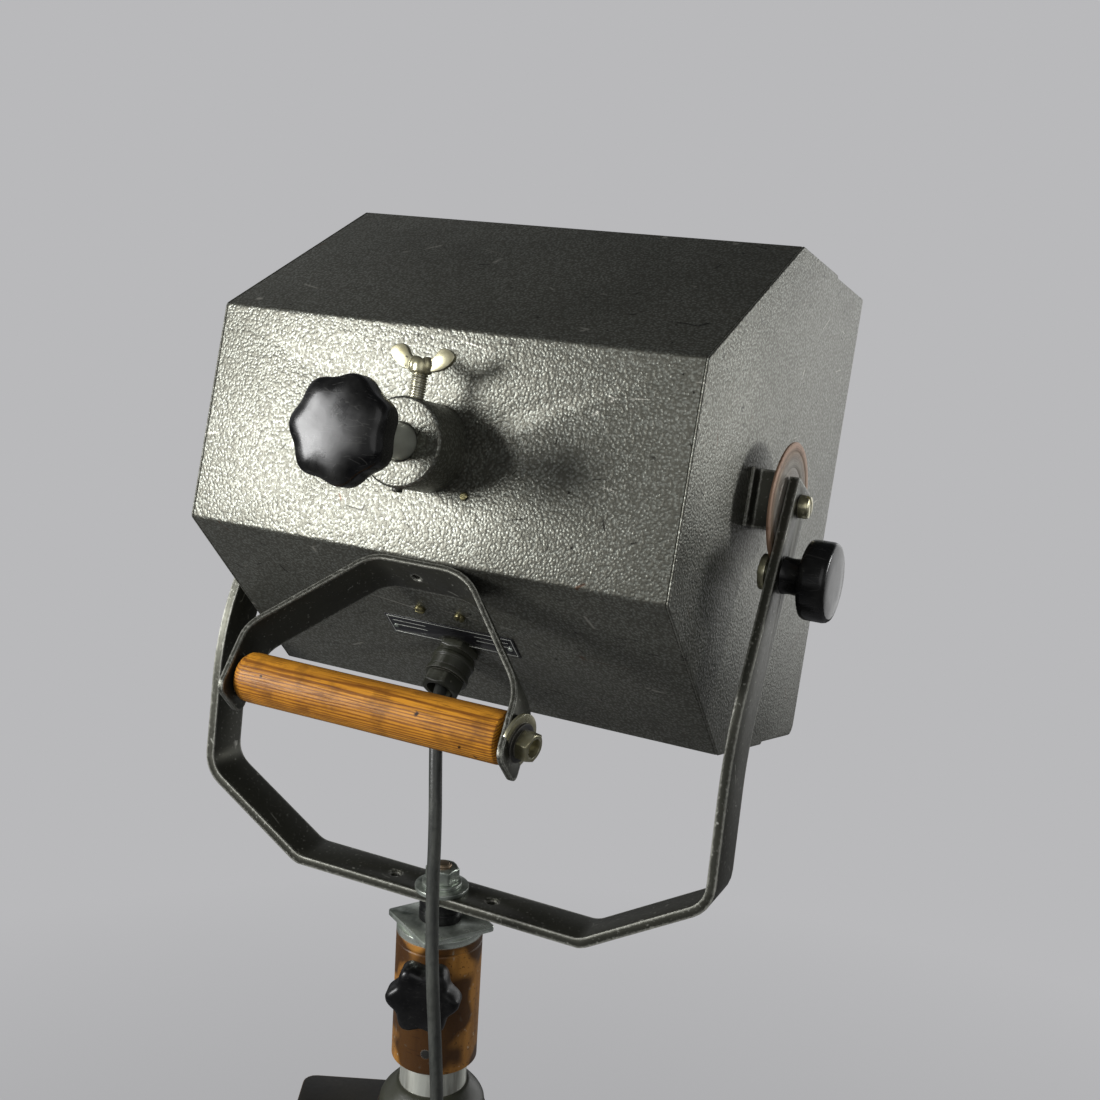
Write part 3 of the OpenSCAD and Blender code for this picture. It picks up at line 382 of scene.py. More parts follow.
def plated(name, tint, stain, size=0.017, rough=0.30, spots=0.06, streak=(1, 1, 1), metallic=0.8):
    """Zinc-plated steel: a milky metal with cloudy passivation and small dull spots. A streak
    stretches the clouds along one axis, as on a tube that slides."""
    material, tree, shader, place = new_finish(name)
    run = add(tree, "ShaderNodeMapping", {"Vector": place, "Scale": streak})
    cloud = add(tree, "ShaderNodeTexNoise", {"Vector": run, "Scale": 1 / size, "Detail": 6.0,
                                             "Roughness": 0.6})
    dull = add(tree, "ShaderNodeValToRGB", {0: cloud}, ((0.42, 0.0), (0.66, 1.0)))
    paint(tree, shader, [tint, (dull, stain),
                         (specks(tree, place, 0.0045, spots), linear("4E4A42")),
                         (wear_on_edges(tree, place, 0.0006, 0.12, 0.003), linear("D5D6D4"))])
    shader.inputs["Metallic"].default_value = metallic
    surface(tree, shader, rough, 0.3, cloud, 0.0001)
    return material


def brown_varnish():
    """Steel tube under ochre-brown varnish, brushed on: scored lengthwise by years of sliding,
    with pale dents and large dark stains."""
    colours = bpy.context.scene.lamp_colours
    material, tree, shader, place = new_finish("brown_varnish")
    upright = (0.0, math.pi / 2, 0.0)
    drawn = add(tree, "ShaderNodeMapping", {"Vector": place, "Scale": (1.0, 1.0, 0.22)})
    fine = either(tree, scratches(tree, place, upright, 0.0045, 0.045, 0.0003, 0.60),
                  scratches(tree, place, (0.0, math.pi / 2 - 0.1, 0.3), 0.006, 0.03, 0.0003, 0.62))
    pale = either(tree, specks(tree, drawn, 0.006, 0.22), specks(tree, place, 0.004, 0.06),
                  scratches(tree, place, upright, 0.012, 0.03, 0.0007, 0.62))
    # Grime in grains of 2 mm
    grime = add(tree, "ShaderNodeTexNoise", {"Vector": place, "Scale": 500.0, "Detail": 4.0})
    paint(tree, shader, [tuple(colours.varnish),
                         (clouds(tree, drawn, 0.012, 0.42, 0.7, 0.85), linear("6A4620")),
                         (clouds(tree, place, 0.005, 0.55, 0.8, 0.4), linear("A0743C")),
                         (fine, linear("2E1C0D")), (pale, linear("BFB199")),
                         (clouds(tree, place, 0.05, 0.53, 0.58, 0.9, 2.0), linear("35200F")),
                         (wear_on_edges(tree, place, 0.0008, 0.10, 0.003), linear("9A968C"))])
    shader.inputs["Specular IOR Level"].default_value = 0.3
    surface(tree, shader, 0.38, 0.3, grime, 0.0001)
    return material


def plain_enamel(name, tint, shade, rough=0.42, grit=0.002, worn=0.12, chip="8B877E"):
    """Sprayed or brushed enamel: one colour that clouds a little, orange-peel gloss with lumps
    of grit's size in metres, and chips along the edges. Worn is the level of wear_on_edges."""
    material, tree, shader, place = new_finish(name)
    peel = add(tree, "ShaderNodeTexNoise", {"Vector": place, "Scale": 1 / grit, "Detail": 3.0})
    marks = either(tree, wear_on_edges(tree, place, 0.0011, worn, 0.004, 0.2),
                   specks(tree, place, 0.007, 0.05))
    paint(tree, shader, [tint, (clouds(tree, place, 0.033, 0.35, 0.7), shade),
                         (marks, linear(chip))])
    surface(tree, shader, rough, 0.25, peel, 0.00008)
    return material


def rubber(name, tint, rough=0.55, grit=0.0011, drawn=1.0):
    """Moulded or extruded rubber: dark and dull with a faint sheen, dusty in its fine texture
    of grit's size in metres. Drawn is how far the dust is smeared upright, as on a lead that
    hangs."""
    material, tree, shader, place = new_finish(name)
    run = add(tree, "ShaderNodeMapping", {"Vector": place, "Scale": (1.0, 1.0, 1 / drawn)})
    skin = add(tree, "ShaderNodeTexNoise", {"Vector": place, "Scale": 1 / grit, "Detail": 3.0})
    paint(tree, shader, [tint, (clouds(tree, run, 0.006, 0.42, 0.72, 0.5), linear("6B6D66")),
                         (clouds(tree, place, 0.004, 0.5, 0.75, 0.6), linear("262725"))])
    surface(tree, shader, rough, 0.25, skin, 0.00012)
    return material


def friction_face():
    """Turned steel disc, worn: grey rings inside, and rust and brown dust where the clamp rubs
    its rim. Its grooves are drawn 1.1 mm apart, coarser than real ones, so that they show."""
    material, tree, shader, place = new_finish("friction_face")
    rim, groove = 0.033, 0.0011
    centred = add(tree, "ShaderNodeVectorMath", {0: place, 1: tuple(-PIVOT)}, operation="ADD")
    flat = add(tree, "ShaderNodeVectorMath", {0: centred, 1: (0, 1, 1)}, operation="MULTIPLY")
    radius = add(tree, "ShaderNodeVectorMath", {0: flat}, operation="LENGTH").outputs["Value"]
    # Blotches 4 mm apart
    noise = add(tree, "ShaderNodeTexNoise", {"Vector": place, "Scale": 260.0, "Detail": 5.0})
    share = add(tree, "ShaderNodeMath", {0: radius, 1: rim}, operation="DIVIDE")
    zone = add(tree, "ShaderNodeMath", {0: noise, 1: 0.06, 2: share}, operation="MULTIPLY_ADD")
    body = add(tree, "ShaderNodeValToRGB", {0: zone}, (
        (0.30, linear("8F8A80")), (0.55, linear("7D776D")), (0.70, linear("A39C90")),
        (0.78, linear("7A6E60")), (0.88, linear("8A745C")), (0.96, linear("A98870"))))
    paint(tree, shader, [body.outputs[0],
                         (clouds(tree, place, 0.004, 0.5, 0.7, 0.5), linear("5A3A22"))])
    grooves = add(tree, "ShaderNodeMath", {0: radius, 1: 2 * math.pi / groove},
                  operation="MULTIPLY")
    wave = add(tree, "ShaderNodeMath", {0: grooves}, operation="SINE")
    relief = add(tree, "ShaderNodeMath", {0: wave, 1: 0.3, 2: noise}, operation="MULTIPLY_ADD")
    shader.inputs["Metallic"].default_value = 0.35
    surface(tree, shader, 0.5, 0.1, relief, 0.00007)
    return material


def clear_glass(name, tint, rough):
    """Pressed or blown borosilicate glass: clear, with a tint in its depth and a face that is
    slightly wavy, 11 mm from crest to crest."""
    material, tree, shader, place = new_finish(name)
    wave = add(tree, "ShaderNodeTexNoise", {"Vector": place, "Scale": 90.0, "Detail": 2.0})
    shader.inputs["Base Color"].default_value = tint
    shader.inputs["IOR"].default_value = 1.47
    shader.inputs["Transmission Weight"].default_value = 1.0
    surface(tree, shader, rough, 0.04, wave, 0.00005)
    return material


def bare_metal(name, tint, rough, brushed=(1, 1, 1)):
    """Turned, rolled or polished bare metal: fine tool marks, 1.4 mm apart or drawn out by
    brushed, and a few dull clouds."""
    material, tree, shader, place = new_finish(name)
    lines = add(tree, "ShaderNodeMapping", {"Vector": place, "Scale": brushed})
    tool = add(tree, "ShaderNodeTexNoise", {"Vector": lines, "Scale": 700.0, "Detail": 4.0})
    shade = tuple(0.6 * part for part in tint[:3]) + (1.0,)
    paint(tree, shader, [tint, (clouds(tree, place, 0.025, 0.4, 0.75, 0.7), shade)])
    shader.inputs["Metallic"].default_value = 1.0
    surface(tree, shader, rough, 0.16, tool, 0.00004)
    return material


FINISHES = {}


def finish_of(name):
    """A finish by name, made the first time it is asked for."""
    colours = bpy.context.scene.lamp_colours
    makers = {
        "hammered": hammered_enamel,
        "dark": dark_enamel,
        "gloss_black": thermoset,
        # Injection-moulded nylon of the star knobs: the same black, duller and cleaner
        "matt_black": lambda: thermoset("moulded_nylon", 0.30, 0.4),
        "pine": varnished_pine,
        # Barrel-plated zinc on nuts, washers and plates: pale and bluish, with grey clouds
        "zinc": lambda: plated("clear_zinc", tuple(colours.zinc), linear("6F776F")),
        # Yellow-passivated zinc on screws: a warm, straw-coloured cast in finer clouds
        "yellow_zinc": lambda: plated("yellow_zinc", tuple(colours.yellow_zinc), linear("938D6E"),
                                      0.009, 0.30, 0.08),
        # Zinc on the drawn mast tube: streaked lengthwise where the clamp slides
        "mast_zinc": lambda: plated("streaked_zinc", linear("D4D6CC"), linear("8A8A82"),
                                    0.011, 0.34, 0.12, (1, 1, 0.12), 0.7),
        "brown": brown_varnish,
        # Brushed olive enamel on the gland and the collar: nearly black, with pale chips
        "olive": lambda: plain_enamel("olive_enamel", tuple(colours.olive), linear("33342B"), 0.38),
        # Black enamel on sand castings: coarse skin, and brown primer where it has chipped
        "cast_black": lambda: plain_enamel("cast_black", linear("1B1A19"), linear("26241F"),
                                           0.48, 0.0026, 0.09, "6F5843"),
        # Sprayed enamel on the stand's tubes: smoother and glossier
        "stand": lambda: plain_enamel("stand_enamel", linear("33322F"), linear("262522"),
                                      0.36, 0.0014),
        # Heat-proof enamel inside the casing: flat and sooty; it also paints the shade of the
        # sleeve's small hole
        "inside": lambda: plain_enamel("inside_enamel", linear("2C2B28"), linear("1F1E1C"), 0.5),
        # Black-anodised aluminium of the bare label plate: fine and even, hardly chipped
        "plate": lambda: plain_enamel("anodised_plate", linear("17171A"), linear("202024"),
                                      0.34, 0.0011, 0.6, "6A6A68"),
        # Fired steatite of the lamp holder: off-white with a slight glaze
        "ceramic": lambda: plain_enamel("steatite", linear("E4DFD2"), linear("D0C9B8"),
                                        0.3, 0.003, 0.4, "B5AC98"),
        "friction": friction_face,
        # Pressed glass of the lens, faintly green, and drawn glass of the bulb, clearer
        "lens": lambda: clear_glass("pressed_glass", linear("E6F2EE"), 0.05),
        "bulb": lambda: clear_glass("bulb_glass", linear("F4F4F0"), 0.06),
        # Turned brass, long tarnished: brown and dull
        "brass": lambda: bare_metal("brass", linear("86805F"), 0.42),
        # Plated and drawn rods: milky, with streaks along them and little shine
        "rod": lambda: plated("plated_rod", linear("CED1C4"), linear("A9AC9F"),
                              0.02, 0.34, 0.03, (1, 0.3, 1), 0.35),
        # Turned steel of the yoke's bolt, gone brown with thin rust
        "rusty_steel": lambda: bare_metal("rusty_steel", linear("8A7A66"), 0.5),
        # Rolled aluminium sheet of the carriage: grey, with rolling lines across
        "aluminium": lambda: bare_metal("rolled_aluminium", linear("C4C5C6"), 0.36, (0.05, 1, 1)),
        # Spun and polished aluminium of the mirror: nearly white and sharp
        "mirror": lambda: bare_metal("polished_aluminium", linear("E2E2E0"), 0.12),
        # Moulded rubber of the feet, extruded rubber of the lead, and the plug's smoother one
        "foot": lambda: rubber("foot_rubber", linear("232323"), 0.62, 0.0017),
        "sheath": lambda: rubber("lead_sheath", tuple(colours.sheath), 0.38, 0.0011, 6.0),
        "plug": lambda: rubber("plug_rubber", linear("1E1E1F"), 0.5),
    }
    if name not in FINISHES:
        FINISHES[name] = makers[name]()
    return FINISHES[name]


# ---------- Shapes ----------


def skinned(shape, rings, closed=False):
    """Faces between rings of points, of which one on the axis is a single point, and from the
    last ring to the first in a closed shape."""
    for low, high in zip(rings, rings[1:] + (rings[:1] if closed else [])):
        sides = max(len(low), len(high))
        for k in range(sides):
            corners = [low[k % len(low)], low[(k + 1) % len(low)],
                       high[(k + 1) % len(high)], high[k % len(high)]]
            shape.faces.new(list(dict.fromkeys(corners)))
    bmesh.ops.recalc_face_normals(shape, faces=shape.faces)
    return shape


def turned(profile, segments=72, hollow=False):
    """A shape turned about z from (radius, height) points in millimetres. A hollow one closes
    its profile on itself and keeps clear of the axis."""
    shape = bmesh.new()
    rings = []
    for radius, height in profile:
        turns = segments if radius > 1e-6 else 1
        rings.append([shape.verts.new((radius * MM * math.cos(2 * math.pi * k / segments),
                                       radius * MM * math.sin(2 * math.pi * k / segments),
                                       height * MM)) for k in range(turns)])
    return skinned(shape, rings, hollow)


def ring(outer, inner, height, segments=72):
    """A washer or a tube from diameters and a height."""
    corners = [(inner / 2, 0), (outer / 2, 0), (outer / 2, height), (inner / 2, height)]
    return turned(corners, segments, True)


def prism(outline, height):
    """A plate cut to an outline of (x, y) points, in millimetres, standing on z = 0."""
    shape = bmesh.new()
    low = [shape.verts.new((x * MM, y * MM, 0)) for x, y in outline]
    high = [shape.verts.new((x * MM, y * MM, height * MM)) for x, y in outline]
    shape.faces.new(low[::-1])
    shape.faces.new(high)
    return skinned(shape, [low, high])


def block(width, depth, height):
    """A block that stands on z = 0 round the z axis."""
    x, y = width / 2, depth / 2
    return prism([(-x, -y), (x, -y), (x, y), (-x, y)], height)


def nut(flats, height, bore):
    """A hexagon nut: its corners are turned off at both ends, and its bore is open."""
    sides = 6 * 8
    shape = bmesh.new()
    round_r, flat_r = flats / 2 / math.cos(math.pi / 6), flats / 2
    chamfer, end_r = 0.10 * flat_r, 0.97 * flat_r
    levels = [(0, bore / 2, False), (0, end_r, False), (chamfer, round_r, True),
              (height - chamfer, round_r, True), (height, end_r, False), (height, bore / 2, False)]
    rings = []
    for z, radius, follows_hexagon in levels:
        made = []
        for k in range(sides):
            turn = 2 * math.pi * k / sides
            to_flat = flat_r / math.cos((turn % (math.pi / 3)) - math.pi / 6)
            reach = (min(radius, to_flat) if follows_hexagon else radius) * MM
            made.append(shape.verts.new((reach * math.cos(turn), reach * math.sin(turn), z * MM)))
        rings.append(made)
    return skinned(shape, rings, closed=True)


def from_cad(node):
    """A CAD node's shape with its loose triangles merged into whole faces."""
    shape = bmesh.new()
    shape.from_mesh(frame["nodes"][node].data)
    bmesh.ops.remove_doubles(shape, verts=shape.verts, dist=2e-6)
    bmesh.ops.dissolve_limit(shape, angle_limit=math.radians(0.6), verts=shape.verts,
                             edges=shape.edges)
    return shape


class Build:
    """One piece, put together from shapes that each have a place and a finish."""

    def __init__(self):
        self.shape = bmesh.new()
        self.finishes = []

    def put(self, shape, place, finish):
        """Adds a shape at a place; returns the build, so that calls can follow each other."""
        if finish not in self.finishes:
            self.finishes.append(finish)
        shape.transform(place)
        for face in shape.faces:
            face.material_index = self.finishes.index(finish)
        part = bpy.data.meshes.new("part")
        shape.to_mesh(part)
        shape.free()
        self.shape.from_mesh(part)
        bpy.data.meshes.remove(part)
        return self

    def in_place_of(self, node, body, slot, edge):
        """Ends the build as the piece that stands for a CAD node."""
        return self.piece("fine_" + node, body, [node], slot, edge)

    def piece(self, name, body, nodes, slot, edge):
        """Rounds the edges, and makes the piece ride on its body, if it is given one, in place of
        CAD nodes. The edge is the rounding's width in millimetres."""
        mesh = bpy.data.meshes.new(name)
        self.shape.to_mesh(mesh)
        self.shape.free()
        made = bpy.data.objects.new(name, mesh)
        bpy.context.scene.collection.objects.link(made)
        for finish in self.finishes:
            mesh.materials.append(finish_of(finish))
        if edge:
            rounding = made.modifiers.new("rounding", "BEVEL")
            rounding.limit_method = "ANGLE"
            rounding.angle_limit = EDGE_ANGLE
            rounding.width = edge * MM
            rounding.segments = 2
            rounding.use_clamp_overlap = True
            bake_modifiers(made)
        made.data.shade_smooth()
        made.data.set_sharp_from_angle(angle=SHARP_ANGLE)
        if body:
            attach(made, body)
        if nodes:
            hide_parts(*nodes)
        return made


def bake_modifiers(made):
    """Turns what the modifiers make into the object's own mesh, and removes them."""
    graph = bpy.context.evaluated_depsgraph_get()
    mesh = bpy.data.meshes.new_from_object(made.evaluated_get(graph), depsgraph=graph)
    made.modifiers.clear()
    old = made.data
    made.data = mesh
    mesh.name = made.name
    bpy.data.meshes.remove(old)


def copied(node, body, slot, finish, edge):
    """A CAD node's own shape with its edges rounded, under its finish."""
    return Build().put(from_cad(node), Matrix(), finish).in_place_of(node, body, slot, edge)


def finished(node, finish):
    """A CAD node that keeps its mesh and takes a finish."""
    materials = frame["nodes"][node].data.materials
    materials.clear()
    materials.append(finish_of(finish))


# ---------- Geometry that follows a rule ----------


def new_tree(name, inputs):
    """A geometry tree with named inputs; returns it with its way in and its way out."""
    tree = bpy.data.node_groups.new(name, "GeometryNodeTree")
    tree.interface.new_socket("Geometry", in_out="INPUT", socket_type="NodeSocketGeometry")
    for label, kind in inputs:
        tree.interface.new_socket(label, in_out="INPUT", socket_type=kind)
    tree.interface.new_socket("Geometry", in_out="OUTPUT", socket_type="NodeSocketGeometry")
    return tree, tree.nodes.new("NodeGroupInput"), tree.nodes.new("NodeGroupOutput")


def close_tree(tree, way_in, way_out, geometry):
    """Ends a tree in real geometry under its material."""
    real = add(tree, "GeometryNodeRealizeInstances", {0: geometry})
    painted = add(tree, "GeometryNodeSetMaterial", {
        0: real.outputs[0], "Material": way_in.outputs["Material"]})
    tree.links.new(painted.outputs[0], way_out.inputs[0])


def thread_tree():
    """A screw thread: a ridge that climbs round a shank."""
    tree, way_in, way_out = new_tree("screw_thread", [
        ("Radius", "NodeSocketFloat"), ("Pitch", "NodeSocketFloat"), ("Turns", "NodeSocketFloat"),
        ("Material", "NodeSocketMaterial")])
    radius, pitch, turns = (way_in.outputs[label] for label in ("Radius", "Pitch", "Turns"))
    rise = add(tree, "ShaderNodeMath", {0: pitch, 1: turns}, operation="MULTIPLY")
    helix = add(tree, "GeometryNodeCurveSpiral", {
        "Resolution": 28, "Rotations": turns, "Start Radius": radius, "End Radius": radius,
        "Height": rise})
    depth = add(tree, "ShaderNodeMath", {0: pitch, 1: 0.52}, operation="MULTIPLY")
    ridge = add(tree, "GeometryNodeCurvePrimitiveCircle", {"Resolution": 4, "Radius": depth})
    swept = add(tree, "GeometryNodeCurveToMesh", {
        0: helix.outputs[0], 1: ridge.outputs[0], "Fill Caps": True})
    close_tree(tree, way_in, way_out, swept.outputs[0])
    return tree


def lobe_tree():
    """A hand knob: a turned blank whose rim swells into lobes, more towards its edge."""
    tree, way_in, way_out = new_tree("lobed_rim", [
        ("Lobes", "NodeSocketFloat"), ("Depth", "NodeSocketFloat"), ("Core", "NodeSocketFloat"),
        ("Rim", "NodeSocketFloat"), ("Material", "NodeSocketMaterial")])
    place = add(tree, "GeometryNodeInputPosition").outputs[0]
    parts = add(tree, "ShaderNodeSeparateXYZ", {0: place}).outputs
    turn = add(tree, "ShaderNodeMath", {0: parts[1], 1: parts[0]}, operation="ARCTAN2")
    flat = add(tree, "ShaderNodeCombineXYZ", {0: parts[0], 1: parts[1]}).outputs[0]
    radius = add(tree, "ShaderNodeVectorMath", {0: flat}, operation="LENGTH").outputs["Value"]
    share = add(tree, "ShaderNodeMapRange", {
        "Value": radius, "From Min": way_in.outputs["Core"], "From Max": way_in.outputs["Rim"]},
        interpolation_type="SMOOTHSTEP")
    turns = add(tree, "ShaderNodeMath", {0: turn, 1: way_in.outputs["Lobes"]}, operation="MULTIPLY")
    wave = add(tree, "ShaderNodeMath", {0: turns}, operation="COSINE")
    swell = add(tree, "ShaderNodeMath", {0: wave, 1: way_in.outputs["Depth"]}, operation="MULTIPLY")
    shift = add(tree, "ShaderNodeMath", {0: swell, 1: share}, operation="MULTIPLY")
    outwards = add(tree, "ShaderNodeVectorMath", {0: flat}, operation="NORMALIZE")
    offset = add(tree, "ShaderNodeVectorMath", {0: outwards, "Scale": shift}, operation="SCALE")
    moved = add(tree, "GeometryNodeSetPosition", {
        0: way_in.outputs["Geometry"], "Offset": offset})
    close_tree(tree, way_in, way_out, moved.outputs[0])
    return tree


def row_tree():
    """A row or a ring of like parts: one at each point of the geometry that comes in, turned by
    the point's own rotation attribute."""
    tree, way_in, way_out = new_tree("parts_on_points", [
        ("Part", "NodeSocketObject"), ("Material", "NodeSocketMaterial")])
    part = add(tree, "GeometryNodeObjectInfo", {0: way_in.outputs["Part"]}).outputs["Geometry"]
    turn = add(tree, "GeometryNodeInputNamedAttribute", {0: "turn"}, data_type="FLOAT_VECTOR")
    put = add(tree, "GeometryNodeInstanceOnPoints", {
        "Points": way_in.outputs["Geometry"], "Instance": part, "Rotation": turn.outputs[0]})
    close_tree(tree, way_in, way_out, put.outputs[0])
    return tree


TREES = {}


def ruled(name, maker, start, place, values, finish):
    """Runs a geometry tree on a start shape, and gives the result as a shape at its place."""
    if maker not in TREES:
        TREES[maker] = maker()
    tree = TREES[maker]
    mesh = bpy.data.meshes.new(name)
    start.to_mesh(mesh)
    start.free()
    made = bpy.data.objects.new(name, mesh)
    bpy.context.scene.collection.objects.link(made)
    modifier = made.modifiers.new("rule", "NODES")
    modifier.node_group = tree
    inputs = [item for item in tree.interface.items_tree if item.in_out == "INPUT"]
    sockets = {item.name: item.identifier for item in inputs}
    for label, value in {**values, "Material": finish_of(finish)}.items():
        modifier[sockets[label]] = value
    bpy.context.view_layer.update()
    bake_modifiers(made)
    shape = bmesh.new()
    shape.from_mesh(made.data)
    shape.transform(place)
    bpy.data.objects.remove(made)
    return shape


def thread(diameter, pitch, span, place, finish):
    """A thread along a shank, from its foot; the pitch is in metres, the rest in millimetres."""
    radius = diameter / 2 * MM - pitch * 0.36
    return ruled("thread", thread_tree, bmesh.new(), place,
                 {"Radius": radius, "Pitch": pitch, "Turns": span * MM / pitch}, finish)


def lobed(profile, lobes, depth, core, place, finish):
    """A knob with lobes; the profile is its turned blank, the rest as the tree says."""
    rim = max(radius for radius, _ in profile)
    values = {"Lobes": float(lobes), "Depth": depth * MM, "Core": core * MM, "Rim": rim * MM}
    return ruled("knob", lobe_tree, turned(profile, 24 * lobes), place, values, finish)


def row(part, places, finish):
    """Like parts at places: the part is a shape, and each place a matrix."""
    blank = bpy.data.meshes.new("blank")
    part.to_mesh(blank)
    part.free()
    holder = bpy.data.objects.new("blank", blank)
    bpy.context.scene.collection.objects.link(holder)
    points = bmesh.new()
    turn = points.verts.layers.float_vector.new("turn")
    for place in places:
        points.verts.new(place.translation)[turn] = Vector(place.to_euler())
    shape = ruled("row", row_tree, points, Matrix(), {"Part": holder}, finish)
    bpy.data.objects.remove(holder)
    return shape


def slotted(diameter, height, slot):
    """A cheese head with a domed rim and a screwdriver slot across it, on z = 0."""
    half, side = slot / 2, diameter / 2
    shape = turned([(0, 0), (side, 0), (side, height * 0.65), (side * 0.9, height * 0.9),
                    (side * 0.55, height), (0, height)], 40)
    for edge in (-half, half):
        bmesh.ops.bisect_plane(shape, geom=shape.verts[:] + shape.edges[:] + shape.faces[:],
                               plane_co=(0, edge * MM, 0), plane_no=(0, 1, 0))
    floor, wall = height * 0.5 * MM, 0.02
    for vert in shape.verts:
        if abs(vert.co.y) < (half - wall) * MM and vert.co.z > floor:
            vert.co.z = floor
    bottom = [face for face in shape.faces if abs(face.calc_center_median().y) < half * MM
              and face.calc_center_median().z > floor * 0.98]
    bmesh.ops.inset_region(shape, faces=bottom, thickness=wall * MM)
    for face in bottom:
        for vert in face.verts:
            vert.co.z = min(vert.co.z, floor)
    return shape


# ---------- Operators ----------


def operator(idname, label):
    """Fills in what every operator here needs."""
    def decorate(cls):
        cls.bl_idname = idname
        cls.bl_label = label
        cls.bl_options = {"REGISTER", "UNDO"}
        return cls
    return decorate


@operator("lamp.stage", "Stage, camera and lights")
class LAMP_OT_stage(bpy.types.Operator):
    """Makes the pale floor, the lights and the camera at the photograph's place"""

    # Where the photograph was taken from: behind the lamp, above it and to one side. Turns are
    # in radians, and the focal length and the picture's width and shift in pixels.
    camera_at = Vector((-374.5, 791.1, 1547.7)) * MM
    yaw, pitch, roll = -0.447468, 0.216346, 0.060211
    focal_pixels, picture_pixels, axis_above_middle = 1501.66, 1100, 50

    # Each light's name, its way from the lamp head, and its distance, size (m) and power (W)
    lights = (("key", (0.67, 0.72, 0.20), 1.7, 0.6, 32),
              ("side", (-0.74, -0.68, 0.02), 2.6, 0.42, 10),
              ("fill", (-0.5, 0.85, 0.5), 2.6, 1.8, 12),
              ("front", (-0.3, -1.0, -0.05), 2.4, 1.6, 8))

    # What they are aimed at: the middle of the casing
    aim = PIVOT + Vector((0, 0.05, -0.02))

    def execute(self, context):
        scene = context.scene
        self.camera(scene)
        self.floor(scene)
        self.world(scene)
        for light in self.lights:
            self.light(scene, *light)
        scene.view_settings.view_transform = "Standard"
        return {"FINISHED"}

    def camera(self, scene):
        """Looks at the lamp's back. The angles were worked out with the back towards -y, so the
        camera's axes take half a turn."""
        forward = Vector((math.sin(self.yaw) * math.cos(self.pitch),
                          math.cos(self.yaw) * math.cos(self.pitch), -math.sin(self.pitch)))
        level = Vector((math.cos(self.yaw), -math.sin(self.yaw), 0))
        upright = level.cross(forward)
        right = math.cos(self.roll) * level + math.sin(self.roll) * upright
        up = -math.sin(self.roll) * level + math.cos(self.roll) * upright
        half_turn = Matrix.Rotation(math.pi, 3, "Z")
        axes = Matrix((half_turn @ right, half_turn @ up, half_turn @ -forward)).transposed()
        data = bpy.data.cameras.new("camera")
        data.sensor_width = 36
        data.lens = data.sensor_width * self.focal_pixels / self.picture_pixels
        data.shift_y = -self.axis_above_middle / self.picture_pixels
        data.clip_start = 0.02
        camera = bpy.data.objects.new("camera", data)
        camera.matrix_world = Matrix.Translation(self.camera_at) @ axes.to_4x4()
        scene.collection.objects.link(camera)
        scene.camera = camera

    def floor(self, scene):
        """A pale floor that keeps the lamp's shadow, and melts into the wall between 0.6 m and
        2.2 m from the middle."""
        shape = bmesh.new()
        bmesh.ops.create_circle(shape, cap_ends=True, segments=96, radius=30)
        mesh = bpy.data.meshes.new("floor")
        shape.to_mesh(mesh)
        shape.free()
        made = bpy.data.objects.new("floor", mesh)
        scene.collection.objects.link(made)
        material, tree, shader, place = new_finish("pale_floor")
        pale = tuple(scene.lamp_colours.floor)
        shader.inputs["Base Color"].default_value = linear("98989A")
        shader.inputs["Roughness"].default_value = 0.9
        far = add(tree, "ShaderNodeVectorMath", {0: place}, operation="LENGTH").outputs["Value"]
        melt = add(tree, "ShaderNodeMapRange", {"Value": far, "From Min": 0.6, "From Max": 2.2,
                                                "To Min": 0.62})
        share = add(tree, "ShaderNodeMath", {0: melt, 1: self.seen(tree)}, operation="MULTIPLY")
        wall = add(tree, "ShaderNodeEmission", {"Color": pale, "Strength": 1.0})
        both = add(tree, "ShaderNodeMixShader", {0: share, 1: shader, 2: wall})
        tree.links.new(both.outputs[0], tree.nodes["Material Output"].inputs["Surface"])
        mesh.materials.append(material)

    def seen(self, tree):
        """1 on the rays by which the camera sees the background, glass and all."""
        rays = add(tree, "ShaderNodeLightPath").outputs
        return either(tree, rays["Is Camera Ray"], rays["Is Transmission Ray"])

    def world(self, scene):
        """The camera sees a pale wall; the lamp is lit by a plain grey room, darker overhead."""
        world = bpy.data.worlds.new("room")
        world.use_nodes = True
        scene.world = world
        tree = world.node_tree
        tree.nodes.clear()
        way = add(tree, "ShaderNodeTexCoord").outputs["Generated"]
        up = add(tree, "ShaderNodeSeparateXYZ", {0: way})
        level = add(tree, "ShaderNodeValToRGB", {0: up.outputs[2]},
                    ((0.0, linear("9D9E9F")), (0.22, linear("A4A5A7")), (0.5, linear("3C3D3E")),
                     (1.0, linear("4A4B4C"))))
        room = add(tree, "ShaderNodeBackground", {"Color": level, "Strength": 1.0})
        wall = add(tree, "ShaderNodeBackground", {"Color": tuple(scene.lamp_colours.floor),
                                                  "Strength": 1.0})
        mixed = add(tree, "ShaderNodeMixShader", {0: self.seen(tree), 1: room, 2: wall})
        add(tree, "ShaderNodeOutputWorld", {"Surface": mixed})

    def light(self, scene, name, way, distance, size, power):
        spot = self.aim + Vector(way).normalized() * distance
        data = bpy.data.lights.new(name, "AREA")
        data.size = size
        data.energy = power
        made = bpy.data.objects.new(name, data)
        made.matrix_world = Matrix.Translation(spot) @ facing(spot - self.aim)
        scene.collection.objects.link(made)


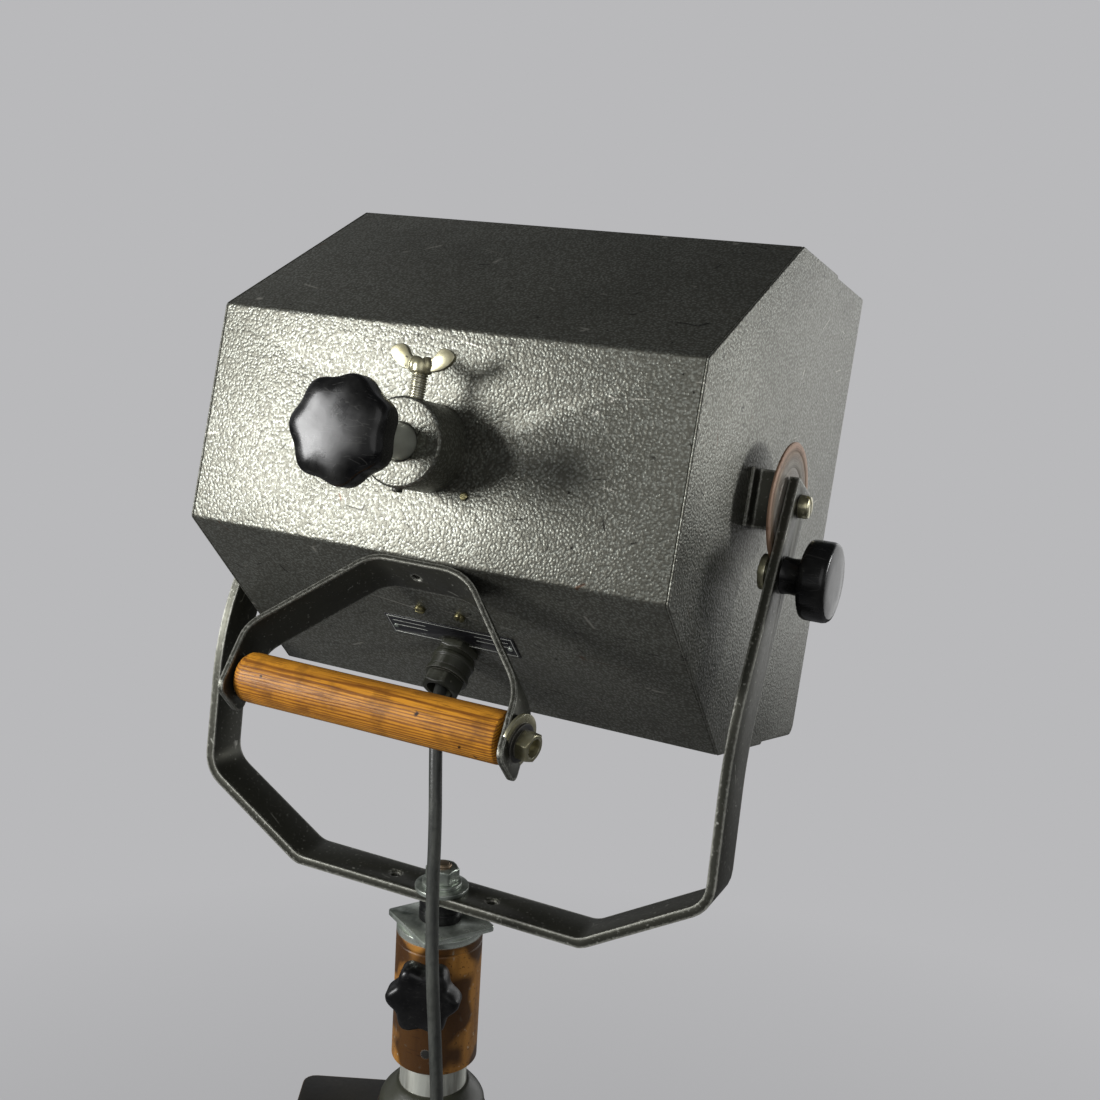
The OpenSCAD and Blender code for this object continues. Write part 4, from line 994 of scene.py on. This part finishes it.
# The lead's route, in millimetres from the mast's axis, from inside the gland to the coil.
# Points up to ON_YOKE hang from the lamp head, then up to ON_MAST beside the sleeve and mast.
ROUTE = [(0, 0.2, 1285.5), (0, 7.5, 1279), (-0.5, 13, 1274), (-3.5, 20.5, 1265.5),
         (-8, 28, 1253), (-11.5, 33, 1237), (-14.5, 36.8, 1219), (-16.5, 39.5, 1200),
         (-18, 42, 1182), (-20, 44.5, 1163), (-22.5, 47.5, 1145), (-25.5, 50, 1125),
         (-28, 51, 1105), (-29.8, 51, 1085), (-31, 50.4, 1065), (-31.4, 50, 1045),
         (-31.5, 50, 1025), (-31.5, 50, 1005), (-31.8, 50.3, 975), (-32.4, 51, 930),
         (-33.2, 52, 880), (-33.8, 53, 820), (-33.6, 54, 750), (-32.8, 54.6, 670),
         (-31.8, 54.6, 590), (-31, 54.2, 500), (-30.6, 53.8, 400), (-30.4, 53.6, 300),
         (-30.2, 53.6, 220), (-30, 53.7, 160), (-30, 54, 110), (-30, 55, 75),
         (-30, 58.5, 48), (-30, 66, 27), (-30, 79, 12), (-30, 95, 5.6), (-30, 112, 4.9)]
ON_YOKE, ON_MAST = 7, 16
STEPS = 8  # places between two points of the route
COIL_LAYERS, COIL_TURNS, COIL_INNER, COIL_STEPS = 2, 3, 28.5, 60  # turns and steps in a layer
COIL_GAP, COIL_LIFT = 0.6, 1.4  # between turns, and under the lowest one
TAIL_STEP, PLUG_Z = 8, 18.6  # the tail climbs to the plug's height in steps along y


def smooth_run(points):
    """Points close together on a smooth curve through a list of points."""
    made = []
    for i in range(len(points) - 1):
        a, b, c, d = (Vector(points[min(max(k, 0), len(points) - 1)]) for k in range(i - 1, i + 3))
        for k in range(STEPS):
            t = k / STEPS
            made.append((2 * b + (c - a) * t + (2 * a - 5 * b + 4 * c - d) * t ** 2
                         + (3 * b - a - 3 * c + d) * t ** 3) / 2)
    return made + [Vector(points[-1])]


def lead_points():
    """The whole lead in the frame: the hanging run, and the coil with its tail."""
    run = smooth_run(ROUTE)
    diameter = bpy.context.scene.lamp_sizes.lead / MM
    pitch = diameter + COIL_GAP
    outer = COIL_INNER + COIL_TURNS * pitch
    low = diameter / 2 + COIL_LIFT
    end = Vector(ROUTE[-1])
    centre = Vector((end.x + outer, end.y + diameter, 0))
    coil = []
    for i in range(COIL_LAYERS * COIL_TURNS * COIL_STEPS + 1):
        t = i / COIL_STEPS
        up = max(0.0, min(1.0, (t - COIL_TURNS + 0.25) / 0.5))  # half a turn from layer to layer
        radius = outer - pitch * t if t < COIL_TURNS else COIL_INNER + pitch * (t - COIL_TURNS)
        turn = math.pi * (1 - 2 * t)
        coil.append(centre + Vector((radius * math.cos(turn), radius * math.sin(turn),
                                     low + pitch * up)))
    climb = PLUG_Z - coil[-1].z
    tail = [coil[-1] + Vector((0, TAIL_STEP * i, climb * (1 - math.cos(i * math.pi / 6)) / 2))
            for i in range(1, 7)]
    coil += smooth_run([coil[-1], *tail])[1:]
    shift = Vector((0, MAST.y / MM, 0))
    return [[(point + shift) * MM for point in part] for part in (run, coil)]


def tube(points, diameter, sides=20):
    """A round tube along points, whose rings turn no more than the line does."""
    shape = bmesh.new()
    rings = []
    across = Vector((1, 0, 0))
    for i, point in enumerate(points):
        along = (points[min(i + 1, len(points) - 1)] - points[max(i - 1, 0)]).normalized()
        across = (across - along * across.dot(along)).normalized()
        other = along.cross(across)
        turns = [2 * math.pi * k / sides for k in range(sides)]
        rings.append([shape.verts.new(point + diameter / 2 * (math.cos(turn) * across
                                                              + math.sin(turn) * other))
                      for turn in turns])
    shape.faces.new(rings[0][::-1])
    shape.faces.new(rings[-1])
    return skinned(shape, rings)


@operator("lamp.lead", "Lead")
class LAMP_OT_lead(bpy.types.Operator):
    """Makes the rubber lead in stretches cut at the joints, with its coil, band and plug"""

    def execute(self, context):
        run, coil = lead_points()
        plug = self.plug(coil[-1])
        tie = copied("cord_tie", "stand", "tie", "matt_black", 0.2)
        cuts = [0, ON_YOKE * STEPS, ON_MAST * STEPS, len(run) - 1]
        stretches = (("lead_at_head", "cord_head", "head", "yoke"),
                     ("lead_at_sleeve", "cord_mast", "yoke", "mast"),
                     ("lead_drop", "cord_drop", "mast", "stand"))
        for (name, node, upper, lower), first, last in zip(stretches, cuts, cuts[1:]):
            points = run[first:last + 1]
            piece = self.stretch(context, name, node, points)
            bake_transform(piece)
            self.declare(context, piece, points, "object", "hanging", [])
        piece = self.stretch(context, "lead_coil", "cord_coil", coil)
        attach(piece, "stand")
        self.declare(context, piece, coil, "plug", "coiled", [plug, tie])
        return {"FINISHED"}

    def stretch(self, context, name, node, points):
        build = Build().put(tube(points, context.scene.lamp_sizes.lead), Matrix(), "sheath")
        return build.piece(name, None, [node], "lead_rubber", edge=0)

    def declare(self, context, piece, points, far_end, lay, others):
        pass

    def plug(self, end):
        """A moulded two-pin plug with grip ribs and a ribbed neck."""
        place = Matrix.Translation(end) @ facing((0, 1, 0))
        neck = [(4.1, 0), (6, 0.3)]
        for i in range(4):
            z = 2 + 3.4 * i
            radius = 6 + 0.6 * i
            neck += [(radius, z), (radius, z + 1.9), (radius - 1.1, z + 2.2),
                     (radius - 1.1, z + 3.2)]
        body = neck + [(8.6, 16.4), (12, 22), (16, 26), (18, 30), (18, 34), (17.2, 35),
                       (17.2, 37), (18, 38), (18, 41), (17.2, 42), (17.2, 43.5), (18, 44.5),
                       (17.8, 46), (0, 46)]
        pin = [(0, 0), (2.4, 0), (2.4, 16.8), (2.1, 18.2), (1.2, 19), (0, 19)]
        build = Build().put(turned([(0, 0), *body]), place, "plug")
        for side in (-9.5, 9.5):
            build.put(turned(pin, 32), place @ by(side, 0, 46), "brass")
        return build.piece("lead_plug", "stand", ["cord_plug"], "plug_rubber", 0.25)


@operator("lamp.casing", "Casing")
class LAMP_OT_casing(bpy.types.Operator):
    """Finishes the sheet casing, its side plates, its vents and what stands on its back"""

    # How far down the slope the screws, the label plate's middle and its rivets are, and the
    # plate's thickness, in millimetres
    screws_at, plate_at, rivets_at, plate_t = 48, 69, 70.6, 0.5

    def execute(self, context):
        copied("casing_wrap", "head", "case_enamel", "hammered", 0.5)
        copied("side_plates", "head", "case_enamel", "hammered", 0.7)
        copied("front_frame", "head", "case_enamel", "hammered", 0.5)
        copied("filter_runners", "head", "case_enamel", "hammered", 0.3)
        finished("vent_baffles", "inside")
        finished("guide_frame", "rod")
        self.boss()
        self.screws()
        self.label()
        return {"FINISHED"}

    def boss(self):
        place = on_head(0, BACK, BOSS_Z) @ facing((0, 1, 0))
        profile = [(9.05, 0), (22.5, 0), (22.5, 28.4), (21.4, 29.5), (10.0, 29.5), (9.05, 28.6)]
        build = Build().put(turned(profile, 96, True), place, "hammered")
        build.in_place_of("focus_boss", "head", "case_enamel", 0.3)

    def screws(self):
        """Two brass screws and two rivets on the slope, and two small screws on the back."""
        build = Build()
        places = [on_slope(self.screws_at, 0, x) @ about_z(0.6 + x) for x in (-12, 12)]
        build.put(row(slotted(6, 2.2, 1.0), places, "brass"), Matrix(), "brass")
        rivet = turned([(0, 0), (1.5, 0), (1.35, 0.5), (0.8, 0.75), (0, 0.8)], 28)
        places = [on_slope(self.rivets_at, self.plate_t, x) for x in (-35, 35)]
        build.put(row(rivet, places, "zinc"), Matrix(), "zinc")
        under = on_head(0, BACK + 24, BOSS_Z - 22.4) @ facing((0, 0, -1))
        build.put(row(slotted(5.4, 2.0, 0.9), [under], "olive"), Matrix(), "olive")
        low = on_head(-24, BACK, -23.5) @ facing((0, 1, 0))
        build.put(row(slotted(4.2, 1.3, 0.8), [low], "brass"), Matrix(), "brass")
        build.in_place_of("case_screws", "head", "brass", 0.12)

    def label(self):
        """A bare plate with a raised rim and ruled lines, and no lettering."""
        copied("label_plate", "head", "dark_enamel", "plate", 0.12)
        build = Build()
        rim = [(75.6, 0.3, 0.12, off, 0) for off in (-7.6, 7.6)]
        rim += [(0.3, 15.5, 0.12, 0, x) for x in (-37.8, 37.8)]
        ruled_lines = [(20, 0.2, 0.1, off, x) for off in (-3.8, 0.2) for x in (-25, 25)]
        for width, depth, height, off, x in rim + ruled_lines:
            place = on_slope(self.plate_at + off, self.plate_t, x)
            build.put(block(width, depth, height), place, "rod")
        build.piece("label_rules", "head", [], "dark_enamel", 0)


@operator("lamp.lens", "Lens and its ring")
class LAMP_OT_lens(bpy.types.Operator):
    """Makes the stepped lens with its retaining ring and six screws"""

    # Steps of the lens, their width and least height, and the rim's radius, in millimetres
    steps, step_w, flat, rim = 16, 6.2, 5, 107.0

    def execute(self, context):
        place = on_head(0, FRONT + 8, 0) @ facing((0, -1, 0))
        profile = [(0, 0), (self.rim, 0), (self.rim, self.flat),
                   (self.steps * self.step_w, self.flat)]
        draft = 0.05
        for i in range(self.steps - 1, 0, -1):
            # Each step is steeper than the one inside it, and crowned
            outer, inner = (i + 1) * self.step_w - draft, i * self.step_w
            profile += [(outer, self.flat), ((outer + inner) / 2, self.flat + 0.35 + 0.09 * i),
                        (inner, self.flat + 0.5 + 0.12 * i)]
        profile += [(self.step_w - draft, self.flat), (self.step_w / 2, self.flat + 0.6),
                    (0, self.flat + 0.7)]
        build = Build().put(turned(profile, 128), place, "lens")
        build.in_place_of("lens", "head", "lens_glass", 0)
        place = on_head(0, FRONT, 0) @ facing((0, -1, 0))
        thick, screw_circle = 3, 112.5
        profile = [(102, 0), (117, 0), (117, 2.2), (116.2, thick), (104, thick), (102, 2)]
        build = Build().put(turned(profile, 144, True), place, "dark")
        spots = [place @ about_z(math.radians(60 * i + 30)) @ by(screw_circle, 0, thick)
                 for i in range(6)]
        build.put(row(slotted(6, 1.5, 1.0), spots, "zinc"), Matrix(), "zinc")
        build.in_place_of("lens_ring", "head", "dark_enamel", 0.15)
        return {"FINISHED"}


@operator("lamp.handle", "Handle")
class LAMP_OT_handle(bpy.types.Operator):
    """Makes the bent strap, the turned wooden grip and its through bolt"""

    # The grip's axis, down the slope and off it, and its two ends, in millimetres
    strap_y, grip_up, grip_from, grip_to = 12.9, 77.0, -83.6, 63.2

    # The strap's outer faces at the bolt, in millimetres, and their slants, in degrees
    left_end, left_slant, right_end, right_slant = 67.93, 6.84, -88.85, 9.33

    def execute(self, context):
        copied("handle_strap", "head", "dark_enamel", "dark", 0.4)
        across = on_slope(self.strap_y, self.grip_up) @ facing((1, 0, 0))
        span = self.grip_to - self.grip_from
        profile = [(4.2, 0), (11.2, 0), (12.3, 0.8), (12.5, 2), (12.5, span * 0.3),
                   (12.35, span * 0.6), (12.5, span - 6), (12.1, span - 3), (10.6, span - 0.9),
                   (9.4, span), (4.2, span)]
        build = Build().put(turned(profile, 96, True), across @ by(0, 0, self.grip_from), "pine")
        build.in_place_of("handle_grip", "head", "pine", 0.3)
        self.bolt(across)
        return {"FINISHED"}

    def bolt(self, across):
        """A domed head outside one leg of the strap, and two washers and a hollow nut outside
        the other."""
        left = across @ by(0, 0, self.left_end) @ self.tip(-self.left_slant)
        right = across @ by(0, 0, self.right_end) @ self.tip(180 + self.right_slant)
        head = [(0, 0), (8, 0), (8, 1.1), (7.6, 2.3), (6.4, 3.6), (4.4, 4.6), (2, 5), (0, 5.1)]
        build = Build().put(turned(head, 56), left, "yellow_zinc")
        build.put(turned([(0, -94), (4, -94), (4, 70), (0, 70)], 40), across, "yellow_zinc")
        build.put(ring(27, 9, 1.8), right, "yellow_zinc")
        build.put(ring(19, 9, 1.5), right @ by(0, 0, 1.8), "inside")
        build.put(nut(13, 6.8, 9.2), right @ by(0, 0, 3.3), "yellow_zinc")
        build.in_place_of("handle_bolt", "head", "yellow_zinc", 0.2)

    def tip(self, degrees):
        return Matrix.Rotation(math.radians(degrees), 4, "Y")


@operator("lamp.gland", "Cable gland")
class LAMP_OT_gland(bpy.types.Operator):
    """Makes the gland: a body with a hexagon and a flange, and a nut with an open mouth"""

    def execute(self, context):
        place = on_slope(83)
        barrel = [(3.9, 12), (3.9, 5), (11.25, 5), (11.25, 7.4), (12, 8), (12, 10), (11.25, 10.6),
                  (11.25, 15.4), (10.8, 16), (5, 16)]
        build = Build().put(nut(21, 5, 8), place, "olive")
        build.put(turned(barrel, 72, True), place, "olive")
        build.in_place_of("gland_body", "head", "olive_enamel", 0.3)
        mouth = place @ by(0, 0, 16)
        build = Build().put(ring(24, 7.8, 3), mouth, "olive")
        build.put(nut(20, 8, 15), mouth @ by(0, 0, 3), "olive")
        build.put(ring(15.2, 7.4, 1.5), mouth @ by(0, 0, 3.1), "plug")
        build.in_place_of("gland_nut", "head", "olive_enamel", 0.3)
        return {"FINISHED"}


@operator("lamp.focus", "Focus drive")
class LAMP_OT_focus(bpy.types.Operator):
    """Makes the focus rod, its seven-lobed knob, the wing screw and the carriage with its bulb"""

    def execute(self, context):
        back = facing((0, 1, 0))
        rod = [(0, -146), (8.6, -146), (9, -145.4), (9, -0.6), (8.4, 0), (0, 0)]
        build = Build().put(turned(rod), on_head(0, BACK + 78, BOSS_Z) @ back, "rod")
        build.in_place_of("focus_rod", "carriage", "rod_steel", 0)
        self.knob(on_head(0, BACK + 70, BOSS_Z) @ back)
        self.wing_screw(context)
        finished("lamp_carriage", "aluminium")
        copied("lamp_holder", "carriage", "holder", "ceramic", 0.6)
        self.bulb()
        shell = 1.2
        mirror = [(0, 0), *self.dish(MIRROR_R, 0, range(4, 52, 4)),
                  *self.dish(MIRROR_R + shell, -shell, range(48, 4, -4)), (0, -shell)]
        place = on_head(0, MIRROR_Y, 6) @ facing((0, -1, 0))
        build = Build().put(turned(mirror, 96), place, "mirror")
        build.put(turned([(0, -4), (7, -4), (7, -1), (0, -1)], 48), place, "aluminium")
        build.in_place_of("reflector", "carriage", "reflector", 0)
        return {"FINISHED"}

    def dish(self, radius, middle, degrees):
        """Points of a round dish whose middle is at a height, at angles from its axis."""
        turns = [math.radians(angle) for angle in degrees]
        return [(radius * math.sin(turn), middle + radius - radius * math.cos(turn))
                for turn in turns]

    def knob(self, place):
        blank = [(0, 0), (13, 0), (13, 2.2), (17, 2.6), (24, 2.8), (24.8, 3.4), (25.1, 4.6),
                 (25.1, 8), (25.1, 12), (24.9, 14), (24.2, 15.5), (22.9, 16.7), (20.6, 17.6),
                 (17, 18.3), (12, 18.7), (8, 18.9), (4, 19), (0, 19)]
        build = Build().put(lobed(blank, 7, 1.2, 12, place, "gloss_black"), Matrix(), "gloss_black")
        build.in_place_of("focus_knob", "carriage", "knob_plastic", 0)

    def wing_screw(self, context):
        """A zinc wing screw: a threaded shank, a waisted boss and two pressed wings."""
        place = on_head(0, BACK + 20.5, BOSS_Z + 9.3)
        pitch = context.scene.lamp_sizes.thread_fine
        shank = [(0, 0), (2.9, 0), (3.4, 1.2), (3.4, 26), (0, 26)]
        build = Build().put(turned(shank, 40), place, "yellow_zinc")
        build.put(thread(8, pitch, 24, place @ by(0, 0, 1.2), "yellow_zinc"),
                  Matrix(), "yellow_zinc")
        boss = [(0, 25.2), (4.4, 25.2), (5, 26), (5.2, 29), (4.9, 31.4), (4, 32.6), (0, 33)]
        build.put(turned(boss, 56), place, "yellow_zinc")
        lump = [(0, 24.9), (2.2, 25.2), (3.4, 26.8), (3.7, 29.2), (3.4, 31.6), (2.2, 33.4),
                (0, 33.9)]
        for x in (-3.2, 3.2):
            build.put(turned(lump, 40), place @ by(x, 0, 0), "yellow_zinc")
        wing = [(3, 26.6), (6, 26.4), (9, 27), (12.6, 28.4), (15.6, 30.6), (17.6, 33.2),
                (18.1, 35.2), (17.2, 36.9), (14.8, 38.3), (12, 38.9), (10, 38.3), (8.4, 36.6),
                (7.2, 34.6), (5.4, 33), (3, 32.4)]
        thick = 3
        upright = place @ by(0, thick / 2, 0) @ Matrix.Rotation(math.pi / 2, 4, "X")
        for side in (1, -1):
            outline = [(x * side, z) for x, z in wing]
            build.put(prism(outline, thick), upright, "yellow_zinc")
        build.in_place_of("wing_screw", "wing_screw", "yellow_zinc", 0.45)

    def bulb(self):
        """A halogen bulb: a tubular envelope on a ceramic foot, with its filament on two posts."""
        holder_top = -19.5
        place = on_head(0, MIRROR_Y - MIRROR_R, holder_top)
        envelope = [(0, 13), (9, 13), (11, 14.4), (11.5, 17), (11.5, 46), (11, 49.6), (9.4, 52.4),
                    (6.4, 55), (3, 56.2), (0, 56.5)]
        build = Build().put(turned(envelope, 56), place, "bulb")
        build.put(block(24, 10, 10.2), place @ by(0, 0, 3), "ceramic")
        for x in (-7, 7):
            build.put(turned([(0, -8), (1.5, -8), (1.5, 4), (0, 4)], 24),
                      place @ by(x, 0, 0), "zinc")
            build.put(turned([(0, 13.5), (0.5, 13.5), (0.5, 34), (0, 34)], 12),
                      place @ by(x * 0.6, 0, 0), "zinc")
        # The filament's coil: 1.1 mm about a line between the tops of the posts
        coil = [place @ Vector(((i / 60 - 1) * 4.2 * MM, 1.1 * MM * math.cos(i),
                                (34 + 1.1 * math.sin(i)) * MM)) for i in range(121)]
        build.put(tube(coil, 0.5 * MM, 6), Matrix(), "zinc")
        build.in_place_of("bulb", "carriage", "bulb_glass", 0)


@operator("lamp.pivots", "Pivots and tilt brake")
class LAMP_OT_pivots(bpy.types.Operator):
    """Makes the brackets, the friction disc, the pivot screws and the tilt knob with its washer"""

    def execute(self, context):
        copied("pivot_brackets", "head", "dark_enamel", "dark", 0.35)
        right = on_head(-HAT_X, 0, 0) @ facing((-1, 0, 0))
        left = on_head(HAT_X, 0, 0) @ facing((1, 0, 0))
        disc = [(5, 0), (21.8, 0), (21.8, 1.2), (32.8, 1.2), (33, 1.4), (33, 2.2), (32.6, 2.5),
                (28.6, 2.5), (28.2, 2.3), (27.6, 2.3), (27.2, 2.5), (20, 2.5), (19.7, 2.3),
                (19.2, 2.3), (18.9, 2.5), (5, 2.5)]
        build = Build().put(turned(disc, 128, True), right, "friction")
        build.in_place_of("friction_disc", "head", "disc_steel", 0)
        build = Build()
        reach = ARM_X + RUNNING - HAT_X
        for place in (right, left):
            build.put(turned([(0, -9), (5, -9), (5, reach), (0, reach)], 48), place, "yellow_zinc")
        heads = [place @ by(0, 0, reach) @ about_z(0.5) for place in (right, left)]
        build.put(row(slotted(12.5, 5.6, 1.8), heads, "yellow_zinc"), Matrix(), "yellow_zinc")
        build.put(ring(22, 10, ARM_X - BAR_T - RUNNING - HAT_X), left, "zinc")
        build.in_place_of("pivot_screws", "head", "yellow_zinc", 0.2)
        self.knob()
        return {"FINISHED"}

    def knob(self):
        """A mushroom knob on a flared neck, and the washer that its screw pulls on."""
        brake = Vector(JOINTS["tilt_knob_turn"]["pos_m"])
        place = Matrix.Translation((0, brake.y, brake.z)) @ facing((-1, 0, 0))
        washer = place @ by(0, 0, HAT_X - 2.7)
        build = Build().put(ring(19, 8.1, 3.6), washer, "yellow_zinc")
        build.in_place_of("clamp_washer", "yoke", "yellow_zinc", 0.3)
        back = ARM_X + RUNNING
        profile = [(0, back), (9.6, back), (10, back + 0.5), (9.5, back + 2.6), (9.4, back + 5),
                   (9.8, back + 8.4), (11, back + 10.6), (13, back + 11.6), (18.4, back + 12.0),
                   (20.2, back + 12.8), (20.9, back + 14.2), (21, back + 16), (21, 183.8),
                   (20.6, 185.4), (19.8, 186.4), (18.2, 186.9), (10, 187.05), (0, 187.1)]
        build = Build().put(turned(profile, 96), place, "gloss_black")
        screw = [(0, 146.6), (3.7, 146.6), (4, 147), (4, back + 1), (0, back + 1)]
        build.put(turned(screw, 40), place, "zinc")
        build.in_place_of("tilt_knob", "tilt_knob", "knob_plastic", 0)


@operator("lamp.yoke", "Yoke and sleeve")
class LAMP_OT_yoke(bpy.types.Operator):
    """Finishes the bent bar, and makes the bolt stack, the sleeve and its star knob"""

    def execute(self, context):
        copied("yoke_bar", "yoke", "dark_enamel", "dark", 0.45)
        self.stack(context)
        self.sleeve()
        return {"FINISHED"}

    def stack(self, context):
        pitch = context.scene.lamp_sizes.thread_coarse
        build = Build().put(nut(16.6, 8.4, 9.6), on_yoke(0, 0, 10) @ about_z(0.35), "zinc")
        shank = [(0, -19), (4.2, -19), (4.2, 19.6), (3.6, 20.4), (0, 20.5)]
        build.put(turned(shank, 48), on_yoke(0, 0, 0), "rusty_steel")
        build.put(thread(10, pitch, 6, on_yoke(0, 0, 14.2), "rusty_steel"), Matrix(), "rusty_steel")
        build.put(nut(16, 6.4, 0.6), on_yoke(0, 0, -25.4), "zinc")
        build.in_place_of("yoke_bolt", "yoke", "blue_zinc", 0.15)
        build = Build().put(ring(30, 10.4, 2.4, 96), on_yoke(0, 0, BAR_T), "zinc")
        build.put(ring(22, 10.4, 2.4, 96), on_yoke(0, 0, BAR_T + 2.4), "zinc")
        build.in_place_of("yoke_washers", "yoke", "blue_zinc", 0.35)
        grooved = [(5.2, 0), (12, 0), (12, 5.6), (11.4, 6), (12, 6.4), (12, 12), (5.2, 12)]
        build = Build().put(turned(grooved, hollow=True), on_yoke(0, 0, -12), "matt_black")
        build.in_place_of("spacer_disc", "yoke", "star_plastic", 0.3)
        copied("square_plate", "yoke", "blue_zinc", "zinc", 0.3)
        build = Build().put(ring(48.3, 10.4, 4, 128), on_yoke(0, 0, -19), "zinc")
        build.in_place_of("sleeve_cap", "yoke", "blue_zinc", 0.4)

    def sleeve(self):
        low = -96
        profile = [(19.1, low), (23.35, low), (24.15, low + 0.8), (24.15, low + 71.5),
                   (23.65, low + 72), (23.65, low + 72.8), (24.15, low + 73.3), (24.15, low + 77),
                   (19.1, low + 77)]
        build = Build().put(turned(profile, 128, True), on_yoke(0, 0, 0), "brown")
        # A thin dark disc of the sooty inside enamel, laid on the sleeve, is painted shade standing
        # for the small hole in its side
        build.put(turned([(0, 0), (2.75, 0), (2.75, 0.15), (0, 0.15)], 32),
                  on_yoke(0, 0, low + 13) @ self.towards(108) @ by(0, 0, 24.06), "inside")
        build.in_place_of("sleeve", "yoke", "brown_varnish", 0.25)
        place = on_yoke(0, 0, -38.5) @ self.towards(109)
        blank = [(0, 34), (11, 34), (15, 34.2), (17.6, 34.6), (18.3, 35.6), (18.3, 40),
                 (18.3, 43.6), (17.8, 45.2), (16.6, 46.6), (14.6, 47.4), (8, 47.6), (6, 47.2),
                 (0, 47.2)]
        star = lobed(blank, 6, 1.9, 8, place @ about_z(math.radians(19)), "matt_black")
        build = Build().put(star, Matrix(), "matt_black")
        neck = [(0, 29), (7.5, 29), (8.4, 31), (9.5, 34.6), (0, 34.6)]
        build.put(turned(neck, 56), place, "matt_black")
        build.put(turned([(0, 19.3), (4, 19.3), (4, 30), (0, 30)], 40), place, "zinc")
        build.in_place_of("sleeve_knob", "sleeve_knob", "star_plastic", 0)

    def towards(self, azimuth):
        turn = math.radians(azimuth)
        return facing((math.cos(turn), math.sin(turn), 0))


@operator("lamp.mast", "Mast and clamp")
class LAMP_OT_mast(bpy.types.Operator):
    """Makes the mast tube and its collar, and finishes the clamp block with its knob"""

    def execute(self, context):
        low, high = -718, -28
        tube_wall = [(16.5, low), (19, low), (19, high - 0.8), (18.4, high), (16.5, high)]
        build = Build().put(turned(tube_wall, 96, True), on_yoke(0, 0, 0), "mast_zinc")
        build.in_place_of("mast_tube", "mast", "mast_zinc", 0)
        finished("mast_guide", "matt_black")
        collar = [(19.1, 0), (30, 0), (30, 4.2), (29.7, 6), (29, 7.5), (27.8, 9.4),
                  (26.3, 11.2), (24.8, 12.9), (23.3, 14.4), (21.9, 15.8), (20.9, 16.6),
                  (20.2, 16.9), (19.1, 16.9)]
        build = Build().put(turned(collar, 96, True), on_yoke(0, 0, -129.5), "olive")
        build.in_place_of("collar", "stand", "olive_enamel", 0)
        copied("clamp_block", "stand", "cast_black", "cast_black", 1.1)
        turn = math.radians(25)
        place = on_yoke(0, 0, -167) @ facing((math.cos(turn), math.sin(turn), 0))
        blank = [(0, 88.5), (12, 88.5), (17, 88.8), (19.8, 89.4), (20.5, 90.6), (20.5, 96),
                 (20.5, 99.4), (19.9, 101.2), (18.6, 102.7), (16.4, 103.4), (9, 103.6), (0, 103.6)]
        build = Build().put(lobed(blank, 6, 2, 9, place, "matt_black"), Matrix(), "matt_black")
        neck = [(0, 81.5), (10, 81.5), (10.8, 84), (12, 89.2), (0, 89.2)]
        build.put(turned(neck, 56), place, "matt_black")
        build.put(turned([(0, 19.3), (6, 19.3), (6, 82), (0, 82)], 48), place, "zinc")
        build.in_place_of("clamp_knob", "clamp_knob", "star_plastic", 0)
        return {"FINISHED"}


@operator("lamp.stand", "Stand")
class LAMP_OT_stand(bpy.types.Operator):
    """Finishes the column, the hub, the runner, and the legs with their braces and feet"""

    def execute(self, context):
        low, high = 378 - MAST.z / MM, -173.5
        build = Build().put(ring(48.3, 42, high - low, 96), on_yoke(0, 0, low), "stand")
        build.in_place_of("column", "stand", "stand_enamel", 0.4)
        copied("leg_hub", "stand", "cast_black", "cast_black", 0.8)
        copied("hub_pins", "stand", "blue_zinc", "zinc", 0.4)
        copied("runner", "runner", "cast_black", "cast_black", 0.6)
        for side in ("front", "left", "right"):
            copied(f"leg_{side}", f"leg_{side}", "stand_enamel", "stand", 0.5)
            copied(f"foot_{side}", f"leg_{side}", "foot_rubber", "foot", 0.8)
            copied(f"brace_{side}", f"brace_{side}", "brace_zinc", "zinc", 0.5)
        return {"FINISHED"}


OPERATORS = (LAMP_OT_stage, LAMP_OT_lead, LAMP_OT_casing, LAMP_OT_lens, LAMP_OT_handle,
             LAMP_OT_gland, LAMP_OT_focus, LAMP_OT_pivots, LAMP_OT_yoke, LAMP_OT_mast,
             LAMP_OT_stand)


class LAMP_PT_parts(bpy.types.Panel):
    """Lists the lamp's parts, its colours and its sizes in the sidebar"""
    bl_label = "Spotlight floor lamp"
    bl_idname = "LAMP_PT_parts"
    bl_space_type = "VIEW_3D"
    bl_region_type = "UI"
    bl_category = "Lamp"

    def draw(self, context):
        for cls in OPERATORS:
            self.layout.operator(cls.bl_idname)
        for group in (context.scene.lamp_colours, context.scene.lamp_sizes):
            for name in group.bl_rna.properties.keys():
                if name not in {"rna_type", "name"}:
                    self.layout.prop(group, name)


CLASSES = (LampColours, LampSizes, *OPERATORS, LAMP_PT_parts)


def register():
    for cls in CLASSES:
        bpy.utils.register_class(cls)
    bpy.types.Scene.lamp_colours = bpy.props.PointerProperty(type=LampColours)
    bpy.types.Scene.lamp_sizes = bpy.props.PointerProperty(type=LampSizes)


def unregister():
    del bpy.types.Scene.lamp_sizes
    del bpy.types.Scene.lamp_colours
    for cls in reversed(CLASSES):
        bpy.utils.unregister_class(cls)


def main():
    """Makes every part in order."""
    register()
    for cls in OPERATORS:
        group, name = cls.bl_idname.split(".")
        getattr(getattr(bpy.ops, group), name)()


if __name__ == "__main__":
    main()
